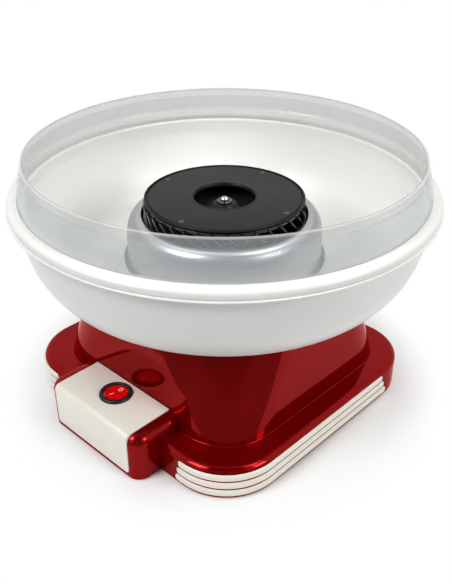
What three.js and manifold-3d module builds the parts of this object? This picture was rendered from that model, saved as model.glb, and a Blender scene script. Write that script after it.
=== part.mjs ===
// An electric cotton candy machine for the kitchen table, in millimetres, +Z up.
// The origin is on the table under the middle of the round bowl. The front, with the switch, is -Y.
// A louvred sugar head spins over a heating ring and throws its threads into the bowl round it.
import * as THREE from "three";
import { mergeVertices } from "three/addons/utils/BufferGeometryUtils.js";
import Module from "manifold-3d";

const wasm = await Module();
wasm.setup();

// Clearances and sheet thicknesses
const GAP = 0.3;
const RUN = 1.2;
const WALL = 3;
const SHEET = 1;
const WELD = 1e-4;
const PAST = 1;

// How many flats a curve gets
const BIG_SIDES = 44;
const ROUND_SIDES = 32;
const SWITCH_SIDES = 24;
const HIDDEN_SIDES = 18;
const SMALL_SIDES = 12;
const TINY_SIDES = 8;
const SCREW_SIDES = 6;
const CORNER_SIDES = 4;
const HIDDEN_CORNER = 2;
const EDGE_STEPS = 3;
const STRIP_STEPS = 2;
const SIDE_STEPS = 6;
const INNER_STEPS = 3;
const SHOULDER_STEPS = 3;
const INNER_SHOULDER_STEPS = 2;
const LIP_STEPS = 2;

// Plinth: it stands out from the pedestal's foot by one amount at the sides, front and back
const FLOOR_CLEAR = 1;
const PLINTH_OUT_SIDE = 15.9;
const PLINTH_OUT_FRONT = 17.2;
const PLINTH_OUT_BACK = 6.6;
const PLINTH_CORNER = 41.5;
const PLINTH_TOP = 25.2;
const PLINTH_EDGE = 4.5;
const PLINTH_WALL = 5;

// Pedestal: a rounded square whose sides lean in and whose corners open towards the top; its
// back stands further in than its front
const PEDESTAL_TOP = 92;
const PEDESTAL_HALF = 95.6;
const PEDESTAL_BACK_IN = 6.2;
const PEDESTAL_SLOPE = 0.1;
const PEDESTAL_CORNER = 38;
const CORNER_GROWTH = 0.42;

// Switch box and its cream panel
const BOX_HALF = 48.5;
const BOX_OUT = 20;
const BOX_TOP = 36.7;
const BOX_CORNER = 10;
const BOX_EDGE = 6.5;
const PANEL_HALF = 39;
const PANEL_PROUD = 0.6;
const PANEL_THICK = 2.2;
const PANEL_BEND = 4;
const PANEL_FOOT = 4.7;
const PANEL_CORNER = 2.5;

// Cream strips round the two front corners
const STRIP_COUNT = 3;
const STRIP_LOW = 2;
const STRIP_HIGH = 21.2;
const STRIP_SEAM = 0.4;
const STRIP_PROUD = 1;
const STRIP_DEPTH = 2.2;
const STRIP_LEAD = 4.3;
const STRIP_LEAD_STEP = 1.5;
const STRIP_TAIL = 45.7;
const STRIP_TAIL_STEP = 3;

// Base plate, its feet, screws and air slots
const PLATE_THICK = 3;
const FOOT_R = 9;
const FOOT_STEM_R = 2.5;
const FOOT_BULB_R = 3.4;
const FOOT_WELL = 1.2;
const FOOT_INSET = 24;
const BOSS_R = 4.5;
const BOSS_INSET = 22;
const SCREW_R = 1.5;
const SCREW_HEAD_R = 3.2;
const SCREW_HEAD = 1.4;
const BASE_SCREW_LENGTH = 14;
const SLOT_COUNT = 5;
const SLOT_WIDTH = 3.2;
const SLOT_LENGTH = 44;
const SLOT_PITCH = 8;

// Outlet for the cord in the back wall
const GROMMET_R = 5;
const GROMMET_BORE = 3.2;
const GROMMET_FLANGE_R = 7;
const GROMMET_FLANGE = 1.5;
const GROMMET_Z = 13;

// Rocker switch
const SWITCH_BACK = 23.5;
const BEZEL_R = 11.8;
const BEZEL_HIGH = 1.8;
const BEZEL_EDGE = 0.7;
const BARREL_R = 9.9;
const BARREL_DEEP = 17;
const ROCKER_R = 8.1;
const ROCKER_PLAY = 0.8;
const ROCKER_TILT = THREE.MathUtils.degToRad(7);
const ROCKER_END = 3.4;
const ROCKER_DIP = 1.9;
const ROCKER_UNDER = 6;
const ROCKER_SHOULDER = 1;
const ROCKER_FOOT = 5;
const BLADE_WIDE = 6.3;
const BLADE_THICK = 0.8;
const BLADE_LONG = 9;
const BLADE_APART = 9;

// Bowl: its side is one curve from the seat to the rim
const SEAT_R = 94.7;
const SEAT_PULL = 27.8;
const SIDE_R = 143;
const SIDE_TOP = 152;
const SIDE_PULL_R = 1.5;
const SIDE_PULL_Z = 40;
const BOWL_WALL = 2.2;
const HUB_R = 73.4;
const HUB_TOP = 108;
const HUB_EASE = 5;
const RIM_TOP = 163.4;
const RIM_INNER = 142;
const RIM_OUTER = 149.6;
const BEAD_R = 150;
const BEAD_Z = 156;
const BEAD_HALF = 0.9;
const GROOVE_DEEP = 1;
const LIP_ROUND = 3;
const LEDGE_DROP = 1.4;
const LEDGE_WIDE = 4.4;
const LEDGE_THICK = 2;

// Clear guard ring
const GUARD_TOP = 188.9;
const GUARD_TOP_R = 136.8;
const GUARD_FOOT_R = 141.6;
const GUARD_BAND_R = 141.2;
const GUARD_WALL = 1.6;
const GUARD_BAND = 9;
const GUARD_BAND_THICK = 2.6;

// Aluminium collar round the head
const COLLAR_R = 70.5;
const COLLAR_MOUTH = 59.6;
const COLLAR_SHOULDER = 124;
const COLLAR_TOP = 141;
const COLLAR_FLANGE = 9;
const COLLAR_SCREWS = 3;

// Sugar head
const HEAD_TOP = 152.7;
const COVER_R = 57.2;
const COVER_FACE_R = 56;
const COVER_THICK = 2.7;
const COVER_RIM = 0.5;
const COVER_HOLE = 21.7;
const COVER_ROUND = 0.9;
const COVER_ROLL = 2.4;
const FIN_COUNT = 36;
const FIN_SLANT = THREE.MathUtils.degToRad(45);
const FIN_THICK = 1.3;
const FIN_REACH = 57.6;
const FIN_RING_R = 58.3;
const FIN_RING_BORE = 50;
const FIN_RING_THICK = 2;
const FIN_RING_LOW = 137;
const PAN_R = 48.5;
const PAN_FLOOR = 140;
const PAN_SHEET = 1.2;
const HUB_TOP_R = 7;
const HUB_FOOT_R = 15;
const HEAD_SCREW_R = 1.6;
const HEAD_SCREW_HEAD_R = 2.9;
const HEAD_SCREW_HEAD = 2.1;
const HEAD_SCREW_LENGTH = 7;
const HEAD_WASHER_R = 5.6;
const HEAD_WASHER = 0.9;
const BUSH_R = 6;
const BUSH_LONG = 15;
const BUSH_SLOT_DEEP = 5;

// Heating ring, its dish and its posts
const DISH_R = 64;
const DISH_HOLE = 12;
const DISH_Z = 116;
const DISH_LIP = 4;
const POSTS = 3;
const POST_R = 4;
const POST_AT = 50;
const POST_PEG_R = 1.6;
const POST_PEG = 1.8;
const RING_R = 40;
const RING_TUBE = 3.2;
const RING_Z = 127;
const RING_END_R = 2;
const RING_END_APART = 5;
const RING_END_LONG = 20;
const BLOCK_WIDE = 12;
const BLOCK_LONG = 8;

// Motor and its plate
const MOTOR_R = 26;
const MOTOR_HIGH = 42;
const MOTOR_ROUND = 4;
const PLATE_R = 38;
const MOTOR_PLATE_THICK = 2;
const PLATE_DROP = 2.4;
const PLATE_SCREWS = 3;
const PLATE_SCREW_AT = 32;
const PLATE_BOSS_R = 4;
const MOTOR_SCREW_AT = 16;
const MOTOR_SCREW_LENGTH = 7;
const SHAFT_R = 3;
const SHAFT_BELOW = 12.7;
const MOTOR_BUSH_R = 7;
const MOTOR_BUSH_LONG = 9;
const MOTOR_BUSH_OUT = 3;
const PIN_R = 1.1;
const PIN_LONG = 9;

// Finishes, from the photograph where a piece shows
const RED = { color: 0x8b0d10, roughness: 0.12, metalness: 0 };
const CREAM = { color: 0xe6e0d2, roughness: 0.35, metalness: 0 };
const BLACK = { color: 0x1b1c1d, roughness: 0.3, metalness: 0 };
const SWITCH_RED = { color: 0xd80a10, roughness: 0.2, metalness: 0 };
const MILK = { color: 0xdedfdb, roughness: 0.25, metalness: 0 };
const CLEAR = { color: 0xe4e8e8, roughness: 0.1, metalness: 0, transparent: true, opacity: 0.35 };
const ALUMINIUM = { color: 0xa9b0b8, roughness: 0.35, metalness: 1 };
const STEEL = { color: 0xb8b8b4, roughness: 0.3, metalness: 1 };
const RUBBER = { color: 0x202020, roughness: 0.8, metalness: 0 };
const CERAMIC = { color: 0xd9d4c8, roughness: 0.6, metalness: 0 };
const BRASS = { color: 0xb08a45, roughness: 0.35, metalness: 1 };

const QUARTER = Math.PI / 2;
const TURN = Math.PI * 2;

// A closed mesh as a solid that can be joined and cut.
function solid(geometry) {
  geometry.deleteAttribute("normal");
  geometry.deleteAttribute("uv");
  const merged = mergeVertices(geometry, WELD);
  const vertProperties = merged.attributes.position.array;
  const triVerts = new Uint32Array(merged.index.array);
  return new wasm.Manifold(new wasm.Mesh({ numProp: 3, vertProperties, triVerts }));
}

// The geometry that three.js draws for a solid.
function geometryOf(shape) {
  const { vertProperties, triVerts } = shape.getMesh();
  const geometry = new THREE.BufferGeometry();
  geometry.setAttribute("position", new THREE.BufferAttribute(vertProperties, 3));
  geometry.setIndex(new THREE.BufferAttribute(triVerts, 1));
  geometry.computeVertexNormals();
  return geometry;
}

function join(first, ...others) {
  return others.reduce((whole, other) => whole.add(other), first);
}

function cut(first, ...others) {
  return others.reduce((whole, other) => whole.subtract(other), first);
}

// A section of [radius, height] points turned about +Z. A section off the axis closes on itself.
function turned(section, sides) {
  const points = section.map(([radius, height]) => new THREE.Vector2(radius, height));
  if (THREE.ShapeUtils.area(points) < 0) {
    points.reverse();
  }
  if (points.some((point) => point.x === 0)) {
    while (!(points[0].x === 0 && points[points.length - 1].x === 0)) {
      points.push(points.shift());
    }
  } else {
    points.push(points[0].clone());
  }
  const geometry = new THREE.LatheGeometry(points, sides);
  geometry.rotateX(QUARTER);
  return solid(geometry);
}

// An outline raised from one height to another.
function raised(outline, low, high, steps = CORNER_SIDES) {
  const options = { depth: high - low, bevelEnabled: false, curveSegments: steps };
  const geometry = new THREE.ExtrudeGeometry(outline, options);
  geometry.translate(0, 0, low);
  return solid(geometry);
}

// The same with a rounded upper edge: the bevel at the lower end is cut away.
function raisedRound(outline, low, high, edge) {
  const geometry = new THREE.ExtrudeGeometry(outline, {
    depth: high - low - edge,
    bevelThickness: edge,
    bevelSize: edge,
    bevelOffset: -edge,
    bevelSegments: EDGE_STEPS,
    curveSegments: CORNER_SIDES,
  });
  geometry.translate(0, 0, low);
  return cut(solid(geometry), block(3 * boxFront, 3 * boxFront, 2 * edge).translate([0, 0, low - edge]));
}

// A rectangle with rounded corners, seen from above.
function roundedOutline(left, right, front, back, corner) {
  const outline = new THREE.Shape();
  outline.moveTo(left + corner, front);
  outline.absarc(right - corner, front + corner, corner, -QUARTER, 0);
  outline.absarc(right - corner, back - corner, corner, 0, QUARTER);
  outline.absarc(left + corner, back - corner, corner, QUARTER, 2 * QUARTER);
  outline.absarc(left + corner, front + corner, corner, 2 * QUARTER, 3 * QUARTER);
  return outline;
}

// The outline of the plinth, drawn in or out by an inset.
function plinthOutline(inset) {
  const half = plinthHalf - inset;
  return roundedOutline(
    -half,
    half,
    inset - plinthFront,
    plinthBack - inset,
    PLINTH_CORNER - inset,
  );
}

// Half the pedestal's width and the radius of its corners at a height.
const pedestalHalf = (z) => PEDESTAL_HALF - PEDESTAL_SLOPE * (z - PLINTH_TOP);
const pedestalCorner = (z) => PEDESTAL_CORNER + CORNER_GROWTH * (z - PLINTH_TOP);

// The pedestal between two heights: each point of the rounded square moves in as it rises.
function drafted(low, high, inset, steps = CORNER_SIDES) {
  const half = pedestalHalf(low) - inset;
  const corner = pedestalCorner(low) - inset;
  const outline = roundedOutline(-half, half, -half, half - PEDESTAL_BACK_IN, corner);
  const options = { depth: high - low, bevelEnabled: false, curveSegments: steps };
  const geometry = new THREE.ExtrudeGeometry(outline, options);
  geometry.translate(0, 0, low);
  const place = geometry.attributes.position;
  for (let i = 0; i < place.count; i += 1) {
    const z = place.getZ(i);
    const cornerHere = pedestalCorner(z) - inset;
    const bend = pedestalHalf(z) - inset - cornerHere;
    const moved = (value) => {
      const along = (Math.abs(value) - (half - corner)) / corner;
      return Math.sign(value) * (bend + along * cornerHere);
    };
    const y = place.getY(i);
    const shift = y > 0 ? PEDESTAL_BACK_IN : 0;
    place.setXY(i, moved(place.getX(i)), moved(y + shift) - shift);
  }
  return solid(geometry);
}

function block(wide, deep, high) {
  return solid(new THREE.BoxGeometry(wide, deep, high));
}

// A round bar standing on a height, on the axis.
function bar(radius, low, high, sides = TINY_SIDES) {
  return turned(
    [
      [0, low],
      [radius, low],
      [radius, high],
      [0, high],
    ],
    sides,
  );
}

// A screw with its head's underside at zero, its shank going down.
function screw(shank, length, head, headHigh, sides = SCREW_SIDES) {
  return turned(
    [
      [0, -length],
      [shank, -length],
      [shank, 0],
      [head, 0],
      [head / 2, headHigh],
      [0, headHigh],
    ],
    sides,
  );
}

// Evenly spaced angles round the axis.
function angles(count, first = 0) {
  return Array.from({ length: count }, (_, i) => first + (i * TURN) / count);
}

const around = (radius, angle) => [radius * Math.cos(angle), radius * Math.sin(angle)];
const degrees = THREE.MathUtils.radToDeg;

function finish({ color, ...rest }) {
  return new THREE.MeshStandardMaterial({ color, ...rest });
}

function piece(group, name, shape, look) {
  const mesh = new THREE.Mesh(geometryOf(shape), finish(look));
  mesh.name = name;
  group.add(mesh);
  return mesh;
}

const group = new THREE.Group();
const base = new THREE.Group();
const rotor = new THREE.Group();
const head = new THREE.Group();
const bowlGroup = new THREE.Group();
const switchGroup = new THREE.Group();
group.add(base, bowlGroup);
base.add(rotor, switchGroup);
rotor.add(head);

// Heights and places that follow from the sizes above
const plinthHalf = PEDESTAL_HALF + PLINTH_OUT_SIDE;
const plinthFront = PEDESTAL_HALF + PLINTH_OUT_FRONT;
const plinthBack = PEDESTAL_HALF + PLINTH_OUT_BACK;
const boxFront = plinthFront + BOX_OUT;
const switchY = boxFront - SWITCH_BACK;
const stripStart = plinthHalf - PLINTH_CORNER - STRIP_LEAD;
const stripEnd = plinthBack - STRIP_TAIL;
const plateTop = FLOOR_CLEAR + PLATE_THICK;
const plinthCeiling = PLINTH_TOP - WALL;
const pedestalCeiling = PEDESTAL_TOP - WALL;
const seatZ = PEDESTAL_TOP + GAP;
const panelTop = BOX_TOP + PANEL_PROUD;
const panelFront = boxFront + PANEL_PROUD;
const boxCeiling = panelTop - PANEL_THICK - GAP - WALL;
const boxInner = BOX_HALF - WALL;
const boxInnerFront = panelFront - PANEL_THICK - GAP - WALL;
const motorPlateTop = pedestalCeiling - PLATE_DROP;
const motorPlateLow = motorPlateTop - MOTOR_PLATE_THICK;
const motorTop = motorPlateLow - GAP;
const motorLow = motorTop - MOTOR_HIGH;
const shaftTop = HEAD_TOP - SHAFT_BELOW;
const collarInner = COLLAR_R - SHEET;
const collarScrewAt = collarInner - COLLAR_FLANGE / 2;

// Strips: a band that follows the plinth from its front, round one corner and along the side

const stripPitch = (STRIP_HIGH - STRIP_LOW + STRIP_SEAM) / STRIP_COUNT;

function cornerBand(start, end, out, inwards) {
  const front = -plinthFront;
  const bendX = plinthHalf - PLINTH_CORNER;
  const bendY = front + PLINTH_CORNER;
  const band = new THREE.Shape();
  band.moveTo(start, front - out);
  band.lineTo(bendX, front - out);
  band.absarc(bendX, bendY, PLINTH_CORNER + out, -QUARTER, 0);
  band.lineTo(plinthHalf + out, end);
  band.lineTo(plinthHalf - inwards, end);
  band.absarc(bendX, bendY, PLINTH_CORNER - inwards, 0, -QUARTER, true);
  band.lineTo(start, front + inwards);
  return band;
}

function strip(row) {
  const low = STRIP_LOW + row * stripPitch;
  const fromTop = STRIP_COUNT - 1 - row;
  const round = (stripPitch - STRIP_SEAM) / 2;
  const across = STRIP_PROUD + STRIP_DEPTH;
  const bevel = across / 2 - GAP;
  const outline = cornerBand(
    stripStart - fromTop * STRIP_LEAD_STEP,
    stripEnd + fromTop * STRIP_TAIL_STEP,
    STRIP_PROUD,
    STRIP_DEPTH,
  );
  const geometry = new THREE.ExtrudeGeometry(outline, {
    depth: GAP,
    bevelThickness: round - GAP / 2,
    bevelSize: bevel,
    bevelOffset: -bevel,
    bevelSegments: STRIP_STEPS,
    curveSegments: CORNER_SIDES,
  });
  geometry.translate(0, 0, low + round - GAP / 2);
  return solid(geometry);
}

function stripBed(row) {
  const low = STRIP_LOW + row * stripPitch - STRIP_SEAM / 2 - GAP;
  const fromTop = STRIP_COUNT - 1 - row;
  const outline = cornerBand(
    stripStart - fromTop * STRIP_LEAD_STEP - GAP,
    stripEnd + fromTop * STRIP_TAIL_STEP + GAP,
    PAST,
    STRIP_DEPTH + GAP,
  );
  return raised(outline, low, low + stripPitch + 2 * GAP);
}

const mirrored = (shape) => shape.mirror([1, 0, 0]);

// Housing

// The bent panel, or the bed cut for it when it is grown by a clearance.
function panelShape(grow) {
  const top = panelTop;
  const front = -panelFront;
  const under = PANEL_THICK + grow;
  const inner = Math.max(PANEL_BEND - PANEL_THICK, GAP);
  const rear = grow > 0 ? PAST - pedestalHalf(BOX_TOP) : -GAP - pedestalHalf(BOX_TOP);
  const over = grow > 0 ? PAST : 0;
  const section = new THREE.Shape();
  section.moveTo(front - over, PANEL_FOOT - grow);
  section.lineTo(front + under, PANEL_FOOT - grow);
  section.lineTo(front + under, top - under - inner);
  section.quadraticCurveTo(front + under, top - under, front + under + inner, top - under);
  section.lineTo(rear, top - under);
  section.lineTo(rear, top + over);
  section.lineTo(front + PANEL_BEND, top + over);
  section.quadraticCurveTo(front - over, top + over, front - over, top - PANEL_BEND);
  const half = PANEL_HALF + grow;
  const options = { depth: 2 * half, bevelEnabled: false, curveSegments: CORNER_SIDES };
  const geometry = new THREE.ExtrudeGeometry(section, options);
  geometry.rotateX(QUARTER);
  geometry.rotateZ(QUARTER);
  geometry.translate(-half, 0, 0);
  const face = roundedOutline(
    -half,
    half,
    PANEL_FOOT - grow,
    panelTop + 2 * PANEL_CORNER,
    PANEL_CORNER,
  );
  const trim = raised(face, 0, boxFront);
  return solid(geometry).intersect(trim.rotate([degrees(QUARTER), 0, 0]));
}

function housing() {
  const plinth = raisedRound(plinthOutline(0), FLOOR_CLEAR, PLINTH_TOP, PLINTH_EDGE);
  const pedestal = drafted(PLINTH_TOP - WALL, PEDESTAL_TOP, 0);
  const boxBack = -PEDESTAL_HALF / 2;
  const boxPlan = (inset) =>
    roundedOutline(
      inset - BOX_HALF,
      BOX_HALF - inset,
      inset - boxFront,
      boxBack,
      BOX_CORNER - inset / 2,
    );
  const box = raisedRound(boxPlan(0), FLOOR_CLEAR, BOX_TOP, BOX_EDGE);
  const outer = join(plinth, pedestal, box);
  const below = FLOOR_CLEAR - PAST;
  const boxRoom = roundedOutline(
    -boxInner,
    boxInner,
    -boxInnerFront,
    boxBack + PAST,
    BOX_CORNER - WALL,
  );
  let shell = cut(
    outer,
    raised(plinthOutline(PLINTH_WALL), below, plinthCeiling, HIDDEN_CORNER),
    drafted(plinthCeiling - WALL, pedestalCeiling, WALL, HIDDEN_CORNER),
    raised(boxRoom, below, boxCeiling, HIDDEN_CORNER),
    panelShape(GAP),
    bar(BARREL_R + GAP, boxCeiling - PAST, panelTop, SWITCH_SIDES).translate([0, -switchY, 0]),
  );
  for (let row = 0; row < STRIP_COUNT; row += 1) {
    const bed = stripBed(row);
    shell = cut(shell, bed, mirrored(bed));
  }
  // Bosses for the screws of the base plate hang from the plinth's ceiling
  for (const [x, y] of bossPlaces()) {
    const boss = bar(BOSS_R, plateTop + GAP, plinthCeiling + PAST, SCREW_SIDES);
    shell = join(shell, boss.translate([x, y, 0]));
  }
  for (const [x, y] of bossPlaces()) {
    const pilot = bar(SCREW_R + GAP, plateTop, plateTop + BASE_SCREW_LENGTH);
    shell = cut(shell, pilot.translate([x, y, 0]));
  }
  // Bosses under the top carry the motor's plate
  for (const angle of angles(PLATE_SCREWS, QUARTER)) {
    const [x, y] = around(PLATE_SCREW_AT, angle);
    const boss = bar(PLATE_BOSS_R, motorPlateTop + GAP, pedestalCeiling + PAST, SCREW_SIDES);
    const pilot = bar(SCREW_R + GAP, motorPlateTop, pedestalCeiling + WALL / 2);
    shell = cut(join(shell, boss.translate([x, y, 0])), pilot.translate([x, y, 0]));
  }
  // Holes in the top for the shaft, the posts of the heating dish and the collar's screws
  const through = bar(MOTOR_BUSH_R + GAP, pedestalCeiling - PAST, PEDESTAL_TOP + PAST, SMALL_SIDES);
  shell = cut(shell, through);
  for (const angle of angles(POSTS, QUARTER)) {
    const [x, y] = around(POST_AT, angle);
    const peg = bar(POST_PEG_R + GAP, PEDESTAL_TOP - POST_PEG, PEDESTAL_TOP + PAST);
    shell = cut(shell, peg.translate([x, y, 0]));
  }
  for (const angle of angles(COLLAR_SCREWS, -QUARTER)) {
    const [x, y] = around(collarScrewAt, angle);
    const bed = bar(SCREW_R + GAP, PEDESTAL_TOP - WALL / 2 - GAP, PEDESTAL_TOP + PAST);
    shell = cut(shell, bed.translate([x, y, 0]));
  }
  // Outlet for the cord
  const outlet = bar(GROMMET_R + GAP, 0, 3 * PLINTH_WALL, SMALL_SIDES);
  return cut(
    shell,
    outlet.rotate([degrees(QUARTER), 0, 0]).translate([0, plinthBack + PLINTH_WALL, GROMMET_Z]),
  );
}

// Places near the four corners of the plinth, at an inset from its sides.
function cornerPlaces(inset) {
  const x = plinthHalf - inset;
  return [
    [x, inset - plinthFront],
    [x, plinthBack - inset],
    [-x, plinthBack - inset],
    [-x, inset - plinthFront],
  ];
}

function bossPlaces() {
  return cornerPlaces(BOSS_INSET);
}

function footPlaces() {
  const apart = FOOT_R + SCREW_HEAD_R + 2 * GAP;
  return cornerPlaces(FOOT_INSET + apart);
}

piece(base, "housing", housing(), RED);

// Base plate inside the foot of the housing, with wells for the feet and slots for air
function basePlate() {
  const inPlinth = raised(plinthOutline(PLINTH_WALL + GAP), FLOOR_CLEAR, plateTop, HIDDEN_CORNER);
  const tongue = roundedOutline(
    GAP - boxInner,
    boxInner - GAP,
    GAP - boxInnerFront,
    0,
    BOX_CORNER - WALL - GAP,
  );
  let plate = join(inPlinth, raised(tongue, FLOOR_CLEAR, plateTop, HIDDEN_CORNER));
  for (const [x, y] of footPlaces()) {
    const well = bar(FOOT_R + GAP, 0, FLOOR_CLEAR + FOOT_WELL, SMALL_SIDES);
    const hole = bar(FOOT_STEM_R + GAP, 0, plateTop + PAST);
    plate = cut(plate, well.translate([x, y, 0]), hole.translate([x, y, 0]));
  }
  for (const [x, y] of bossPlaces()) {
    const well = bar(SCREW_HEAD_R + GAP, 0, FLOOR_CLEAR + SCREW_HEAD + GAP);
    const hole = bar(SCREW_R + GAP, 0, plateTop + PAST);
    plate = cut(plate, well.translate([x, y, 0]), hole.translate([x, y, 0]));
  }
  const round = SLOT_WIDTH / 2;
  const half = SLOT_LENGTH / 2;
  const slotOutline = roundedOutline(-round, round, -half, half, round);
  const slot = raised(slotOutline, 0, plateTop + PAST, 1);
  for (let i = 0; i < SLOT_COUNT; i += 1) {
    const x = (i - (SLOT_COUNT - 1) / 2) * SLOT_PITCH;
    plate = cut(plate, slot.translate([x, 0, 0]));
  }
  return plate;
}

piece(base, "base_plate", basePlate(), BLACK);

// Feet push through the plate and widen above it
const footShape = turned(
  [
    [0, 0],
    [FOOT_R - GAP, 0],
    [FOOT_R, GAP],
    [FOOT_R, FLOOR_CLEAR + FOOT_WELL - GAP],
    [FOOT_STEM_R, FLOOR_CLEAR + FOOT_WELL - GAP],
    [FOOT_STEM_R, plateTop + GAP],
    [FOOT_BULB_R, plateTop + GAP],
    [0, plateTop + FOOT_BULB_R],
  ],
  SMALL_SIDES,
);
footPlaces().forEach(([x, y], i) => {
  piece(base, `foot_${i + 1}`, footShape, RUBBER).position.set(x, y, 0);
});

// Screws go up through the plate into the housing's bosses
const baseScrew = screw(SCREW_R, BASE_SCREW_LENGTH, SCREW_HEAD_R, SCREW_HEAD);
bossPlaces().forEach(([x, y], i) => {
  const mesh = piece(base, `base_screw_${i + 1}`, baseScrew, STEEL);
  mesh.rotation.x = Math.PI;
  mesh.position.set(x, y, FLOOR_CLEAR + SCREW_HEAD);
});

for (let row = 0; row < STRIP_COUNT; row += 1) {
  const shape = strip(row);
  piece(base, `strip_right_${row + 1}`, shape, CREAM);
  piece(base, `strip_left_${row + 1}`, mirrored(shape), CREAM);
}

// Switch panel, with a round hole for the switch
const panelHole = bar(BARREL_R + GAP, boxCeiling, panelTop + PAST, SWITCH_SIDES);
piece(base, "switch_panel", cut(panelShape(0), panelHole.translate([0, -switchY, 0])), CREAM);

// Switch body: a bezel over the panel and a barrel through it, open for the rocker
const bezelLow = panelTop + GAP;
const bezelTop = bezelLow + BEZEL_HIGH;
const barrelLow = panelTop - BARREL_DEEP;
const pivotZ = panelTop - PAST;
const rockerRoom = ROCKER_R + ROCKER_PLAY;
const switchFloor = pivotZ - ROCKER_UNDER - 2 * PAST;
const switchBody = turned(
  [
    [0, barrelLow],
    [BARREL_R, barrelLow],
    [BARREL_R, bezelLow],
    [BEZEL_R, bezelLow],
    [BEZEL_R, bezelTop - BEZEL_EDGE],
    [BEZEL_R - BEZEL_EDGE, bezelTop],
    [rockerRoom, bezelTop],
    [rockerRoom, switchFloor],
    [0, switchFloor],
  ],
  SWITCH_SIDES,
);
piece(base, "switch_body", switchBody, BLACK).position.set(0, -switchY, 0);
const bladeShape = block(BLADE_WIDE, BLADE_THICK, BLADE_LONG);
[-1, 1].forEach((side, i) => {
  const blade = piece(base, `switch_blade_${i + 1}`, bladeShape, BRASS);
  const y = (side * BLADE_APART) / 2;
  blade.position.set(0, y - switchY, barrelLow - GAP - BLADE_LONG / 2);
});

// Rocker: two faces that meet in a shallow valley, round seen from above, resting off
function rocker() {
  const side = new THREE.Shape();
  side.moveTo(-ROCKER_FOOT, -ROCKER_UNDER);
  side.lineTo(ROCKER_FOOT, -ROCKER_UNDER);
  side.lineTo(ROCKER_R, -ROCKER_SHOULDER);
  side.lineTo(ROCKER_R, ROCKER_END);
  side.quadraticCurveTo(0, 2 * ROCKER_DIP - ROCKER_END, -ROCKER_R, ROCKER_END);
  side.lineTo(-ROCKER_R, -ROCKER_SHOULDER);
  const options = { depth: 2 * ROCKER_R, bevelEnabled: false, curveSegments: CORNER_SIDES };
  const geometry = new THREE.ExtrudeGeometry(side, options);
  geometry.rotateX(QUARTER);
  geometry.rotateZ(QUARTER);
  geometry.translate(-ROCKER_R, 0, 0);
  return solid(geometry).intersect(bar(ROCKER_R, -ROCKER_UNDER, ROCKER_R, SWITCH_SIDES));
}

const rockerMesh = piece(switchGroup, "rocker", rocker(), SWITCH_RED);
rockerMesh.position.set(0, -switchY, pivotZ);
rockerMesh.rotation.x = -ROCKER_TILT;

// Outlet bush in the back wall
const grommet = turned(
  [
    [GROMMET_BORE, -PLINTH_WALL],
    [GROMMET_R, -PLINTH_WALL],
    [GROMMET_R, GAP],
    [GROMMET_FLANGE_R, GAP],
    [GROMMET_FLANGE_R - GROMMET_FLANGE / 2, GAP + GROMMET_FLANGE],
    [GROMMET_BORE, GAP + GROMMET_FLANGE],
  ],
  SMALL_SIDES,
);
const grommetMesh = piece(base, "cord_grommet", grommet, RUBBER);
grommetMesh.rotation.x = -QUARTER;
grommetMesh.position.set(0, plinthBack, GROMMET_Z);

// Motor under the top, on a round plate held by three screws
const motor = turned(
  [
    [0, motorLow],
    [MOTOR_R - MOTOR_ROUND, motorLow],
    [MOTOR_R, motorLow + MOTOR_ROUND],
    [MOTOR_R, motorTop - MOTOR_ROUND / 2],
    [MOTOR_R - MOTOR_ROUND / 2, motorTop],
    [MOTOR_BUSH_R + GAP, motorTop],
    [MOTOR_BUSH_R + GAP, motorTop - MOTOR_BUSH_LONG + MOTOR_BUSH_OUT - GAP],
    [SHAFT_R + GAP, motorTop - MOTOR_BUSH_LONG + MOTOR_BUSH_OUT - GAP],
    [SHAFT_R + GAP, motorLow + WALL],
    [0, motorLow + WALL],
  ],
  HIDDEN_SIDES,
);
const motorScrewBed = bar(SCREW_R + GAP, motorTop - MOTOR_SCREW_LENGTH, motorTop + PAST);
const spread = (count, radius, first) => angles(count, first).map((angle) => around(radius, angle));
const motorScrewPlaces = spread(2, MOTOR_SCREW_AT);
const plateScrewPlaces = spread(PLATE_SCREWS, PLATE_SCREW_AT, QUARTER);
const drilled = (shape, tool, places) =>
  places.reduce((left, [x, y]) => cut(left, tool.translate([x, y, 0])), shape);
piece(base, "motor_can", drilled(motor, motorScrewBed, motorScrewPlaces), STEEL);

const motorBush = turned(
  [
    [SHAFT_R + GAP, motorTop - MOTOR_BUSH_LONG + MOTOR_BUSH_OUT],
    [MOTOR_BUSH_R, motorTop - MOTOR_BUSH_LONG + MOTOR_BUSH_OUT],
    [MOTOR_BUSH_R, motorTop + MOTOR_BUSH_OUT - PAST],
    [MOTOR_BUSH_R - PAST, motorTop + MOTOR_BUSH_OUT],
    [SHAFT_R + GAP, motorTop + MOTOR_BUSH_OUT],
  ],
  SMALL_SIDES,
);
piece(base, "motor_bush", motorBush, BRASS);

const plateDisc = turned(
  [
    [MOTOR_BUSH_R + GAP, motorPlateLow],
    [PLATE_R, motorPlateLow],
    [PLATE_R, motorPlateTop],
    [MOTOR_BUSH_R + GAP, motorPlateTop],
  ],
  HIDDEN_SIDES,
);
const plateHole = bar(SCREW_R + GAP, motorPlateLow - PAST, motorPlateTop + PAST);
const motorPlate = drilled(plateDisc, plateHole, [...motorScrewPlaces, ...plateScrewPlaces]);
piece(base, "motor_plate", motorPlate, STEEL);

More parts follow.
